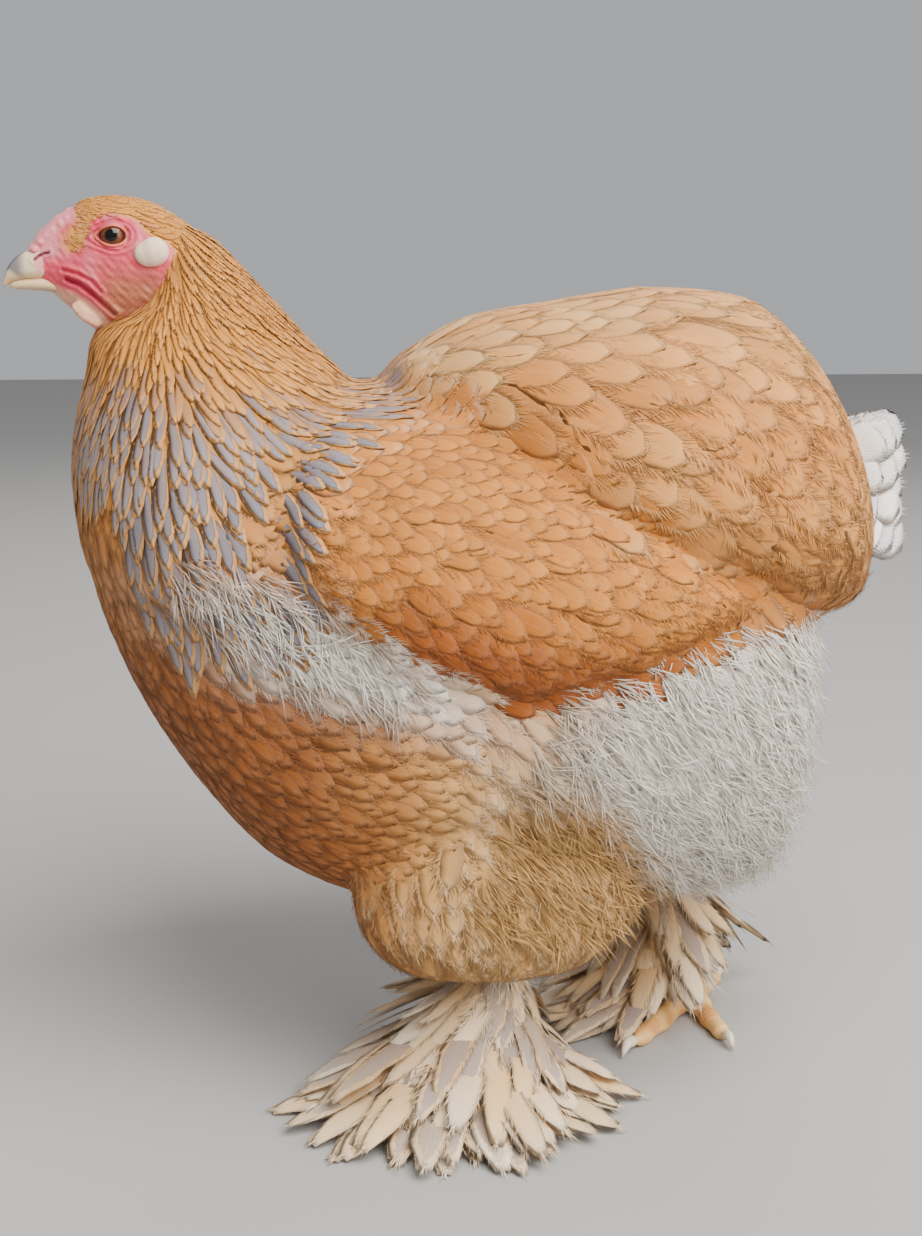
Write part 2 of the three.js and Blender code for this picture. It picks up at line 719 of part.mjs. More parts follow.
function bootFeathers(side) {
  const { heading, fan } = LEGS[side];
  return BOOT_TIERS.flatMap(({ rise, root, reach, bend, drop, half, count, wider }, tier) =>
    Array.from({ length: count }, (_, i) => {
      const share = (i + 0.5 + (chance() - 0.5) * 0.3) / count;
      const turn = radians(heading + THREE.MathUtils.lerp(fan[0] - wider, fan[1] + wider, share));
      const way = new THREE.Vector3(-Math.cos(turn), side * Math.sin(turn), 0);
      const length = about(reach, 0.06);
      const level = ((i + tier) % 2) * LEVEL_STEP;
      const base = alongShank(side, rise);
      const from = base.clone().addScaledVector(way, root);
      const middle = base.clone().addScaledVector(way, length * 0.56).setZ(bend + level);
      const foot = alongShank(side, LEGS[side].ankle[2]);
      const to = foot.addScaledVector(way, length).setZ(drop + level);
      const up = way.clone().setZ(1).normalize();
      return plume(from, middle, to, up, about(half, 0.08), FAN);
    }),
  );
}

function aboveFloor(body) {
  const size = 900;
  const below = new THREE.BoxGeometry(size, size, size);
  below.translate(0, 0, -size / 2);
  return body.subtract(solid(below));
}

// Materials
const finish = (color, roughness = 0.8) => new THREE.MeshStandardMaterial({ color, roughness, metalness: 0 });
const MATERIALS = {
  buff: finish(0xd9a86c),
  hackle: finish(0xc39a72),
  cushion: finish(0xe0b27c),
  wing: finish(0xcf9557),
  fluff: finish(0xe8dccb),
  boot: finish(0xd8cbb2),
  tail: finish(0xe4e2e4),
  skin: finish(0xd8788a, 0.6),
  lobe: finish(0xe6dcc8, 0.6),
  bill: finish(0xcdbd9c, 0.4),
  eye: finish(0x3a2012, 0.1),
  scale: finish(0xe0b070, 0.5),
  horn: finish(0xd8cdb8, 0.4),
};

const group = new THREE.Group();
function add(name, body, material) {
  const whole = largest(body);
  const { numProp, vertProperties, triVerts } = whole.getMesh();
  const places = new Float32Array((vertProperties.length / numProp) * 3);
  for (let i = 0; i < places.length / 3; i++)
    places.set(vertProperties.subarray(i * numProp, i * numProp + 3), i * 3);
  const geometry = new THREE.BufferGeometry();
  geometry.setAttribute("position", new THREE.BufferAttribute(places, 3));
  geometry.setIndex(new THREE.BufferAttribute(triVerts, 1));
  geometry.computeVertexNormals();
  const mesh = new THREE.Mesh(geometry, MATERIALS[material]);
  mesh.name = name;
  group.add(mesh);
  return whole;
}

const sideName = (side) => (side === LEFT ? "left" : "right");

// Assembly: what comes first stays whole, and later nodes are cut clear of it.
const both = [LEFT, RIGHT];
const grownTorso = torso(GAP);
const wholeTorso = cutBy(torso(), ...both.map((side) => thigh(side, GAP)));
add("torso", cutBy(wholeTorso, fluffBlock(GAP)), "buff");
add("fluff", wholeTorso.intersect(fluffBlock()), "fluff");

for (const side of both) {
  const name = sideName(side);
  const hanging = unite(thighFeathers(side)).subtract(grownTorso);
  add(`thigh_${name}`, cutBy(thigh(side).add(hanging), shank(side, GAP)), "fluff");
  const claws = TOES.map((toe) => claw(side, toe, GAP));
  const boot = unite([shank(side), bootCollar(side), ...bootFeathers(side)]);
  const clear = cutBy(boot, thigh(side, VANE_LIFT + GAP), foot(side, GAP), ...claws);
  add(`boot_${name}`, aboveFloor(clear.add(shank(side)).subtract(foot(side, GAP))), "boot");
  add(`foot_${name}`, aboveFloor(cutBy(foot(side), ...claws)), "scale");
  for (const toe of TOES) add(`claw_${name}_${toe.name}`, aboveFloor(claw(side, toe)), "horn");
}

add("tail", cutBy(tail(), grownTorso), "tail");
const cushionRoom = cushionCore(VANE_LIFT + 3);
for (const side of both) {
  const vanes = unite(wingFeathers(side)).subtract(cushionRoom);
  add(`wing_${sideName(side)}`, cutBy(wingCore(side).add(vanes), grownTorso), "wing");
}
const besideWing = both.map((side) => unite([GAP * 2, GAP, 0].map((grow) => wingCore(side, grow))));
const cushion = unite([cushionCore(), ...cushionFeathers()]);
add("cushion", cutBy(cushion, grownTorso, tailRoom(), ...besideWing), "cushion");
const wingRooms = both.map((side, i) => wingCore(side, VANE_LIFT + GAP).add(besideWing[i]));
const neck = unite([capeCore(), ...hackle()]);
add("neck", cutBy(neck, grownTorso, headCore(GAP), ...wingRooms, cushionRoom), "hackle");

let face = headCore();
for (const side of both) {
  face = face.add(lids(side));
  face = cutBy(face, eye(side, GAP), mouthGroove(side));
}
add("head", cutBy(face, upperBill(GAP), lowerBill(GAP)), "skin");
add("bill_upper", cutBy(upperBill(), lowerBill(GAP), ...both.map(nostril)), "bill");
add("bill_lower", lowerBill(), "bill");
add("comb", cutBy(comb(), headCore(GAP), upperBill(GAP)), "skin");
const neckRoom = capeCore(GAP + 2);
for (const side of both) {
  const name = sideName(side);
  add(`eye_${name}`, eye(side), "eye");
  add(`ear_lobe_${name}`, cutBy(lobe(side), headCore(GAP), neckRoom), "lobe");
  add(`wattle_${name}`, cutBy(wattle(side), headCore(GAP), neckRoom, lowerBill(GAP)), "skin");
}

// The part's origin is the middle of its footprint, on the floor.
const box = new THREE.Box3().setFromObject(group);
const middle = box.getCenter(new THREE.Vector3());
group.position.set(-middle.x, -middle.y, -box.min.z);

export default group;
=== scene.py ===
import math

import bmesh
import bpy
import numpy as np
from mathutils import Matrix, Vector
from mathutils.bvhtree import BVHTree


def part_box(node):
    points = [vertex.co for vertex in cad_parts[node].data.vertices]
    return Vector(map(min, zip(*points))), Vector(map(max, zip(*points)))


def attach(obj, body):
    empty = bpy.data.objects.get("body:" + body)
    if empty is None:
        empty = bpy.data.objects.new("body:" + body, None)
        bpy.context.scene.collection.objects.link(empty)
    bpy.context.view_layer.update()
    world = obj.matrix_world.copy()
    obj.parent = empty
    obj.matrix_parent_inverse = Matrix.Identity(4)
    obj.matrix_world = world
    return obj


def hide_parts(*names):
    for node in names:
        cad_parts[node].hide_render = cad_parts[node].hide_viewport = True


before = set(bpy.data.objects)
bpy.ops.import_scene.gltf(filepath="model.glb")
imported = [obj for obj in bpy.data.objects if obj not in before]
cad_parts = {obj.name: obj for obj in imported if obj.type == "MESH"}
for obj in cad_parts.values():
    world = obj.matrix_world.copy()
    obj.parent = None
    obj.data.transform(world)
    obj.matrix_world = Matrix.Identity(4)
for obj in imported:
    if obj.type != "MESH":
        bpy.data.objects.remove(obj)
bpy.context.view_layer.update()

# Sizes are in millimetres in the bird's own frame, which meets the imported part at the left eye.
# The bird faces -X and its left side faces -Y.
MM = 0.001
EYE_LEFT = np.array([-187.8, -12.2, 454.7])
EYE_RADIUS = 7.2
eye_low, eye_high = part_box("eye_left")
SHIFT = np.array((eye_low + eye_high) / 2) / MM - EYE_LEFT

# x, top, bottom, half width, height of the widest point
TORSO = [
    [-212, 322, 322, 0, 322],
    [-205, 356, 274, 46, 318],
    [-188, 374, 228, 78, 306],
    [-155, 384, 172, 104, 290],
    [-110, 386, 124, 122, 270],
    [-65, 382, 106, 131, 258],
    [-10, 382, 102, 135, 250],
    [50, 386, 102, 134, 243],
    [105, 384, 103, 125, 238],
    [145, 360, 110, 106, 232],
    [165, 318, 142, 74, 230],
    [178, 272, 200, 34, 234],
    [181, 236, 236, 0, 236],
]
TORSO_SQUARE = 0.86
CUSHION = [
    [-54, 386, 386, 0, 386],
    [-42, 396, 366, 46, 382],
    [-6, 416, 326, 94, 362],
    [40, 424, 288, 124, 342],
    [90, 431, 266, 134, 326],
    [135, 427, 256, 130, 318],
    [169, 402, 252, 113, 312],
    [190, 366, 254, 86, 306],
    [202, 332, 264, 50, 300],
    [207, 300, 300, 0, 300],
]
# x, top, bottom, thickness, middle height
WING = [
    [-104, 326, 318, 2, 322],
    [-96, 350, 292, 10, 322],
    [-70, 370, 268, 15, 320],
    [-30, 374, 248, 18, 312],
    [10, 358, 240, 18, 298],
    [50, 330, 249, 15, 288],
    [85, 304, 262, 11, 282],
    [110, 288, 272, 7, 280],
    [122, 282, 278, 2, 280],
]
WING_DEPTH = 14
HEAD = [
    [-230, 441, 441, 0, 441],
    [-226, 450, 433, 6.5, 440],
    [-219, 457, 425, 9.5, 440],
    [-210, 468.5, 417, 12.5, 441],
    [-199, 474, 407, 16, 444],
    [-187, 475, 400.5, 18.6, 446],
    [-172, 472.5, 399, 20, 444],
    [-157, 465, 399, 21, 439],
    [-143, 454, 402, 20, 432],
    [-132, 441, 410, 14, 426],
    [-127, 427, 427, 0, 427],
]
UPPER_BILL = [
    [-217, 440, 440, 0, 440],
    [-220, 446.5, 433.7, 7.6, 438.5],
    [-227, 448.8, 433.1, 7.8, 438.5],
    [-233, 447.3, 432.9, 6.4, 438],
    [-238.3, 444.3, 432.3, 4.8, 437],
    [-242.6, 439.3, 430.8, 2.9, 434.5],
    [-245, 433, 429.3, 1.4, 431],
    [-245.6, 430, 430, 0, 430],
]
LOWER_BILL = [
    [-212, 428.5, 428.5, 0, 428.5],
    [-215, 434.6, 424.6, 7.4, 429.4],
    [-224, 434.6, 427.2, 7, 430.6],
    [-233, 433.8, 427.8, 5.2, 430.6],
    [-240, 432.2, 428.4, 2.8, 430.2],
    [-243, 429.8, 429.8, 0, 429.8],
]
# z, front x, back x, half width
CAPE = [
    [467, -158, -158, 0],
    [462, -166, -150, 13],
    [455, -168, -137, 19],
    [446, -169, -128, 25],
    [432, -172, -115, 33],
    [420, -179, -104, 40],
    [411, -197, -96, 46],
    [402, -204, -88, 54],
    [384, -207, -70, 71],
    [362, -213, -54, 90],
    [335, -216, -44, 108],
    [305, -214, -42, 118],
    [284, -208, -50, 119],
    [270, -190, -74, 70],
    [262, -130, -130, 0],
]
# z, front x, back x, half width, middle y
THIGHS = {
    -1: [
        [222, 0, 0, 0, -72],
        [208, -50, 46, 26, -74],
        [180, -68, 66, 38, -76],
        [148, -78, 77, 42, -76],
        [118, -75, 73, 40, -76],
        [96, -64, 60, 34, -75],
        [82, -46, 42, 22, -73],
        [75, -4, -4, 0, -71],
    ],
    1: [
        [222, 96, 96, 0, 68],
        [208, 62, 138, 26, 68],
        [180, 48, 156, 38, 70],
        [148, 44, 162, 41, 71],
        [120, 52, 157, 36, 70],
        [102, 70, 147, 28, 68],
        [91, 92, 132, 16, 65],
        [86, 114, 114, 0, 63],
    ],
}
# hock and ankle points, the way the foot points and the fan of its boot, in degrees from the front
LEGS = {
    -1: {"hock": (8, -66, 96), "ankle": (-18, -52, 20), "heading": 20, "fan": (-8, 140)},
    1: {"hock": (116, 64, 108), "ankle": (134, 46, 20), "heading": -52, "fan": (24, 140)},
}
# turn in degrees, length, radius, claw length
TOES = {1: (180, 34, 5.2, 12), 2: (-46, 50, 5.8, 13), 3: (0, 70, 6.6, 15), 4: (44, 56, 5.8, 13)}
SHANK_RADIUS = 8.5
SIDES = (-1, 1)
SIDE_NAME = {-1: "left", 1: "right"}
LOBE = (-168.3, 20.5, 446.5)
WATTLE = {"centre": (-203, 10.2, 415.6), "size": (9, 2.3, 3.9)}


# Surfaces
class Track:
    """Smooth curve through rows of numbers, without overshoot; the key runs from 0 to 1."""

    def __init__(self, rows):
        self.rows = np.array(rows, float)
        step = np.diff(self.rows, axis=0)
        before, after = step[:-1], step[1:]
        total = before + after
        safe = np.where(np.abs(total) < 1e-9, 1, total)
        inner = np.where(before * after <= 0, 0, 2 * before * after / safe)
        self.slopes = np.vstack([step[:1], inner, step[-1:]])

    def __call__(self, key):
        last = len(self.rows) - 1
        s = np.clip(np.atleast_1d(np.asarray(key, float)), 0, 1) * last
        i = np.minimum(s.astype(int), last - 1)
        f = (s - i)[:, None]
        rise, fall = f * f * (3 - 2 * f), (1 + 2 * f) * (1 - f) ** 2
        value = fall * self.rows[i] + rise * self.rows[i + 1]
        value += f * (1 - f) ** 2 * self.slopes[i] + f * f * (f - 1) * self.slopes[i + 1]
        return value.T


def rounded(value, power):
    return np.sign(value) * np.abs(value) ** power


def lengthwise(rows, power=1.0):
    at = Track(rows)

    def surface(t, angle):
        x, top, bottom, half, widest = at(t)
        up = rounded(np.cos(angle), power)
        z = widest + np.where(up > 0, top - widest, widest - bottom) * up
        return np.stack([x, -half * rounded(np.sin(angle), power), z], -1)

    return surface


def upright(rows):
    at = Track([[*row, 0][:5] for row in rows])

    def surface(t, angle):
        z, front, back, half, middle = at(t)
        x = (front + back) / 2 + (back - front) / 2 * np.cos(angle)
        return np.stack([x, middle - half * np.sin(angle), z], -1)

    return surface


torso_at = Track(TORSO)


def torso_half(x, z):
    """Half width of the torso at a length and a height."""
    low, high = np.zeros_like(x), np.ones_like(x)
    for _ in range(24):
        mid = (low + high) / 2
        below = torso_at(mid)[0] < x
        low, high = np.where(below, mid, low), np.where(below, high, mid)
    _, top, bottom, half, widest = torso_at(low)
    up = np.where(z > widest, (z - widest) / (top - widest + 1e-9), (widest - z) / (widest - bottom + 1e-9))
    share = np.maximum(0, 1 - np.minimum(1, up) ** (2 / TORSO_SQUARE))
    return half * share ** (TORSO_SQUARE / 2)


def wing_surface(side):
    at = Track(WING)

    def surface(t, angle):
        x, top, bottom, thick, middle = at(t)
        up, out = np.cos(angle), np.sin(angle)
        z = middle + np.where(up > 0, top - middle, middle - bottom) * up
        depth = np.where(out > 0, thick, np.minimum(thick * 4, WING_DEPTH))
        return np.stack([x, side * (torso_half(x, z) + 1.5 + depth * out), z], -1)

    return surface


def tube_surface(points, radii):
    """A surface around a smooth line through the points."""
    points = np.array(points, float)
    radius, line = Track([[r] for r in radii]), Track(points)

    def surface(t, angle):
        centre = line(t).T
        after, before = line(np.minimum(np.asarray(t) + 0.01, 1)), line(np.maximum(np.asarray(t) - 0.01, 0))
        way = unit(after.T - before.T)
        side = unit(np.cross(way, [0.01, 0.02, 1]))
        up = np.cross(side, way)
        r = radius(t)[0][:, None]
        return centre + side * r * np.sin(angle)[:, None] + up * r * np.cos(angle)[:, None]

    return surface


def unit(v):
    return v / np.maximum(np.linalg.norm(v, axis=-1, keepdims=True), 1e-9)


# Meshes
def loft_grid(surface, rings, sides):
    """Points and quads of a closed surface."""
    t = np.linspace(0, 1, rings + 1)[1:-1]
    angle = np.linspace(0, 2 * np.pi, sides, endpoint=False)
    tt, aa = np.meshgrid(t, angle, indexing="ij")
    body = surface(tt.ravel(), aa.ravel())
    quarters = np.array([0, 0.5, 1, 1.5]) * np.pi
    ends = [surface(np.full(4, e), quarters).mean(0) for e in (0.0, 1.0)]
    points = np.vstack([body, ends])
    n = rings - 1
    faces = []
    for i in range(n - 1):
        for j in range(sides):
            k = (j + 1) % sides
            faces.append((i * sides + j, i * sides + k, (i + 1) * sides + k, (i + 1) * sides + j))
    for j in range(sides):
        k = (j + 1) % sides
        faces.append((n * sides, k, j))
        faces.append((n * sides + 1, (n - 1) * sides + j, (n - 1) * sides + k))
    return points, faces


def ball_grid(centre, size, turn=(0, 0, 0), rings=14, sides=20):
    """A ball, stretched to its size and then turned."""

    def surface(t, angle):
        rise = np.pi * t
        return np.stack([np.sin(rise) * np.cos(angle), np.sin(rise) * np.sin(angle), np.cos(rise)], -1)

    points, faces = loft_grid(surface, rings, sides)
    return points * size @ turned(turn).T + centre, faces


def turned(degrees):
    """Rotation matrix for turns about x, then y, then z."""
    a, b, c = np.radians(degrees)
    rx = np.array([[1, 0, 0], [0, math.cos(a), -math.sin(a)], [0, math.sin(a), math.cos(a)]])
    ry = np.array([[math.cos(b), 0, math.sin(b)], [0, 1, 0], [-math.sin(b), 0, math.cos(b)]])
    rz = np.array([[math.cos(c), -math.sin(c), 0], [math.sin(c), math.cos(c), 0], [0, 0, 1]])
    return rz @ ry @ rx


def to_scene(points):
    return (np.asarray(points) + SHIFT) * MM


def flat(values):
    return values.astype(np.float32).ravel()


def corners_of(faces):
    """Which corners of four-column faces count: a face whose last two are the same is a triangle."""
    keep = np.ones(faces.shape, bool)
    keep[:, 3] = faces[:, 2] != faces[:, 3]
    return keep


def mesh_object(name, points, faces):
    """A smooth object from points in the bird's frame."""
    mesh = bpy.data.meshes.new(name)
    if isinstance(faces, np.ndarray):
        mesh.vertices.add(len(points))
        mesh.vertices.foreach_set("co", flat(to_scene(points)))
        keep = corners_of(faces)
        sizes = keep.sum(1)
        mesh.loops.add(int(sizes.sum()))
        mesh.loops.foreach_set("vertex_index", faces[keep].astype(np.int32))
        mesh.polygons.add(len(faces))
        mesh.polygons.foreach_set("loop_start", (np.cumsum(sizes) - sizes).astype(np.int32))
        mesh.update(calc_edges=True)
    else:
        mesh.from_pydata(to_scene(points).tolist(), [], faces)
    mesh.polygons.foreach_set("use_smooth", np.ones(len(mesh.polygons), bool))
    made = bpy.data.objects.new(name, mesh)
    bpy.context.scene.collection.objects.link(made)
    return made


def settle(piece, slot, *nodes):
    """Fixes a piece to the part and hides the nodes it stands for. The slot is not used."""
    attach(piece, "root")
    if nodes:
        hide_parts(*nodes)


def joined(grids):
    points, faces, start = [], [], 0
    for p, f in grids:
        points.append(p)
        faces += [tuple(i + start for i in face) for face in f]
        start += len(p)
    return np.vstack(points), faces


def outward(obj):
    work = bmesh.new()
    work.from_mesh(obj.data)
    bmesh.ops.recalc_face_normals(work, faces=work.faces)
    work.to_mesh(obj.data)
    work.free()


def fused(name, grids, voxel, rounds):
    """One closed surface around overlapping closed grids, smoothed."""
    made = mesh_object(name, *joined(grids))
    outward(made)
    remesh = made.modifiers.new("remesh", "REMESH")
    remesh.mode, remesh.voxel_size, remesh.adaptivity = "VOXEL", voxel * MM, 0
    smooth = made.modifiers.new("smooth", "SMOOTH")
    smooth.iterations, smooth.factor = rounds, 0.5
    bpy.context.view_layer.update()
    rough = made.data
    fresh = bpy.data.meshes.new_from_object(made.evaluated_get(bpy.context.evaluated_depsgraph_get()))
    made.modifiers.clear()
    made.data = fresh
    bpy.data.meshes.remove(rough)
    return made


def read_mesh(obj):
    """Vertices in the bird's frame, and vertex normals."""
    mesh = obj.data
    co = np.zeros(len(mesh.vertices) * 3, np.float32)
    mesh.vertices.foreach_get("co", co)
    normal = np.zeros(len(mesh.vertices) * 3, np.float32)
    mesh.vertex_normals.foreach_get("vector", normal)
    return co.reshape(-1, 3).astype(float) / MM - SHIFT, normal.reshape(-1, 3).astype(float)


def write_points(obj, points):
    obj.data.vertices.foreach_set("co", flat(to_scene(points)))
    obj.data.update()


def smoothstep(low, high, x):
    f = np.clip((x - low) / (high - low), 0, 1)
    return f * f * (3 - 2 * f)


def bump(x, centre, width):
    return np.exp(-(((x - centre) / width) ** 2))


rng = np.random.default_rng(5177)
waves = [(rng.normal(size=3), rng.uniform(0, 6.28)) for _ in range(48)]


def noise(points, scale, first=0, count=8):
    """Smooth noise about 0, of features about scale across."""
    total = np.zeros(len(points))
    for way, phase in waves[first : first + count]:
        total += np.sin(points @ way * (2.2 / scale) + phase)
    return total / count**0.5


# Skin of the body: one surface under all the plumage
COAT_DEPTH = 2.5
BODY_VOXEL, HEAD_VOXEL, LOBE_VOXEL, FOOT_VOXEL = 3.6, 0.75, 0.5, 0.8
surfaces = {
    "torso": lengthwise(TORSO, TORSO_SQUARE),
    "cushion": lengthwise(CUSHION),
    "cape": upright(CAPE),
    "wing_left": wing_surface(-1),
    "wing_right": wing_surface(1),
    "thigh_left": upright(THIGHS[-1]),
    "thigh_right": upright(THIGHS[1]),
}
HEAD_CORE = lengthwise(HEAD)
grids = {name: loft_grid(surface, 60, 72) for name, surface in surfaces.items()}


def shank_ends(side):
    return np.array(LEGS[side]["hock"], float), np.array(LEGS[side]["ankle"], float)


def along_shank(side, height):
    """The shank's middle at a height."""
    hock, ankle = shank_ends(side)
    share = (height - ankle[2]) / (hock[2] - ankle[2])
    spot = ankle + (hock - ankle) * share
    return np.array([spot[0], spot[1], height])


def shank_grid(side):
    hock, ankle = shank_ends(side)
    r = SHANK_RADIUS
    radii = [0, r * 1.2, r * 1.1, r, r, r * 1.1, 0]
    return loft_grid(tube_surface([hock, (hock + ankle) / 2, ankle], radii), 24, 24)


throat = ball_grid([-188, 0, 402], [15, 13, 15])
body = fused("body_skin", [*grids.values(), throat, *(shank_grid(s) for s in SIDES)], BODY_VOXEL, 4)
points, normals = read_mesh(body)
depth = COAT_DEPTH * smoothstep(95, 125, points[:, 2])
points = points - normals * depth[:, None]
write_points(body, points)


class Skin:
    """A mesh to lay plumage on: finds its nearest spot and scatters even spots over it."""

    def __init__(self, obj):
        self.points, self.normals = read_mesh(obj)
        polygons = [tuple(p.vertices) for p in obj.data.polygons]
        self.tree = BVHTree.FromPolygons([Vector(p) for p in self.points], polygons)
        self.corners = np.array([(p * 2)[:4] if len(p) < 4 else p[:4] for p in polygons])
        quad = self.points[self.corners]
        self.centre = quad.mean(1)
        cross = np.cross(quad[:, 2] - quad[:, 0], quad[:, 3] - quad[:, 1])
        self.area = np.linalg.norm(cross, axis=1) / 2

    def ground(self, wanted):
        """The nearest spots of the skin and its smooth normals there."""
        found = np.empty_like(wanted)
        face = np.zeros(len(wanted), int)
        nearest = self.tree.find_nearest
        for i, p in enumerate(wanted.tolist()):
            spot, _, index, _ = nearest(p)
            found[i] = spot
            face[i] = index
        around = self.corners[face]
        gap = np.linalg.norm(self.points[around] - found[:, None], axis=2)
        weight = 1 / (gap + 0.3)
        return found, unit((self.normals[around] * weight[..., None]).sum(1))

    def height(self, wanted):
        """How far spots stand outside the skin, negative inside."""
        found, normal = self.ground(wanted)
        return ((wanted - found) * normal).sum(1)

    def scatter(self, choose, spacing, seed):
        """Even random spots on the faces where choose is true; spacing is a number or one per face."""
        local = np.random.default_rng(seed)
        spacing = np.broadcast_to(spacing, self.area.shape)
        weight = np.where(choose, self.area / spacing**2, 0)
        total = weight.sum()
        if total <= 0:
            return np.zeros((0, 3))
        picks = local.choice(len(weight), size=int(total * 4.5), p=weight / total)
        mix = local.random((len(picks), 2, 1))
        quad = self.points[self.corners[picks]]
        spots = (quad[:, 0] * (1 - mix[:, 0]) + quad[:, 1] * mix[:, 0]) * (1 - mix[:, 1])
        spots += (quad[:, 3] * (1 - mix[:, 0]) + quad[:, 2] * mix[:, 0]) * mix[:, 1]
        reach = spacing[picks]
        cell = float(reach.max())
        steps = [(a, b, c) for a in (-1, 0, 1) for b in (-1, 0, 1) for c in (-1, 0, 1)]
        held, kept = {}, []
        for i, (p, r) in enumerate(zip(spots.tolist(), reach.tolist())):
            key = tuple(int(v // cell) for v in p)
            near = (q for a, b, c in steps for q in held.get((key[0] + a, key[1] + b, key[2] + c), ()))
            if all((p[0] - q[0]) ** 2 + (p[1] - q[1]) ** 2 + (p[2] - q[2]) ** 2 >= r * r for q in near):
                held.setdefault(key, []).append(p)
                kept.append(i)
        return spots[kept]


body_skin = Skin(body)

# Which form each face of the skin belongs to, by the nearest surface
names = list(surfaces)
gaps = []
for name in names:
    p, f = grids[name]
    tree = BVHTree.FromPolygons([Vector(q) for q in p], f)
    gaps.append([tree.find_nearest(Vector(q))[3] for q in body_skin.centre])
face_part = np.argmin(np.array(gaps), axis=0)


# Plumage
def paths(ground, roots, ways, lengths, rows):
    """Lines of rows points that run over the skin from the roots, with the normals and ways along them."""
    spot, normal = ground(roots)
    way = unit(ways - normal * (ways * normal).sum(1, keepdims=True))
    step = (lengths / (rows - 1))[:, None]
    centres, ups, along = [spot], [normal], [way]
    for _ in range(rows - 1):
        spot, normal = ground(spot + way * step)
        way = unit(way - normal * (way * normal).sum(1, keepdims=True))
        centres.append(spot)
        ups.append(normal)
        along.append(way)
    return np.stack(centres, 1), np.stack(ups, 1), np.stack(along, 1)


def outline_of(kind, rows):
    """Widths along a vane, from its root to its end."""
    s = np.linspace(0, 1, rows)
    shapes = {
        "broad": [0.16, 0.5, 0.78, 0.95, 1.0, 0.92, 0.42],
        "drop": [0.16, 0.44, 0.7, 0.9, 1.0, 0.92, 0.26],
        "soft": [0.14, 0.5, 0.84, 1.0, 1.0, 0.84, 0.24],
        "quill": [0.3, 0.66, 0.88, 0.97, 1.0, 0.98, 0.52],
    }
    return np.interp(s, np.linspace(0, 1, 7), shapes[kind])


class Coat:
    """Collects closed vanes and blades, and turns them into one mesh."""

    def __init__(self):
        self.kept = {key: [] for key in ("points", "faces", "vane", "OFBake", "tint", "mark", "lie")}
        self.start = 0

    def put(self, points, faces, vane, roots, tint, chance, mark, lie):
        """Adds forms of one kind: points is (count, per, 3), and faces are those of a single form."""
        count, per = points.shape[:2]
        vane = np.broadcast_to(vane, (count, per, 2))
        chance = np.broadcast_to(chance, (count, per, 1))
        values = {
            "points": points,
            "vane": vane,
            "OFBake": bake_place(roots)[:, None] + (vane - 0.5) * TUFT_PATCH,
            "tint": np.concatenate([np.broadcast_to(tint[:, None], (count, per, 3)), chance], 2),
            "mark": np.broadcast_to(mark[:, None], (count, per, 4)),
            "lie": lie,
        }
        for key, value in values.items():
            self.kept[key].append(value.reshape(count * per, -1))
        every = np.arange(count)[:, None, None] * per + np.array(faces)[None] + self.start
        self.kept["faces"].append(every.reshape(-1, 4))
        self.start += count * per

    def build(self, name, material, slot, *nodes):
        values = {key: np.vstack(value) for key, value in self.kept.items()}
        made = mesh_object(name, values["points"], values["faces"])
        corner = values["faces"][corners_of(values["faces"])]
        mesh = made.data
        for key in ("vane", "OFBake"):
            mesh.uv_layers.new(name=key).data.foreach_set("uv", flat(values[key][corner]))
        for key in ("tint", "mark"):
            layer = mesh.color_attributes.new(key, "FLOAT_COLOR", "POINT")
            layer.data.foreach_set("color", flat(values[key]))
        mesh.attributes.new("lie", "FLOAT_VECTOR", "POINT").data.foreach_set("vector", flat(values["lie"]))
        mesh.materials.append(material)
        settle(made, slot, *nodes)


TUFT_PATCH = 0.003


def bake_place(roots):
    """Where roots lie on an unwrap of the body round its long axis, and of the legs below it."""
    angle = np.arctan2(roots[:, 1], roots[:, 2] - 250) / (2 * np.pi) + 0.5
    length = (roots[:, 0] + 260) / 520
    return np.stack([0.01 + 0.98 * length, 0.01 + 0.98 * angle], 1)


FLOOR_GAPS = {"top": 0.9, "low": 0.5, "down": 0.6, "barb": np.array([0.5, 0.5, 0.9, 0.8])}


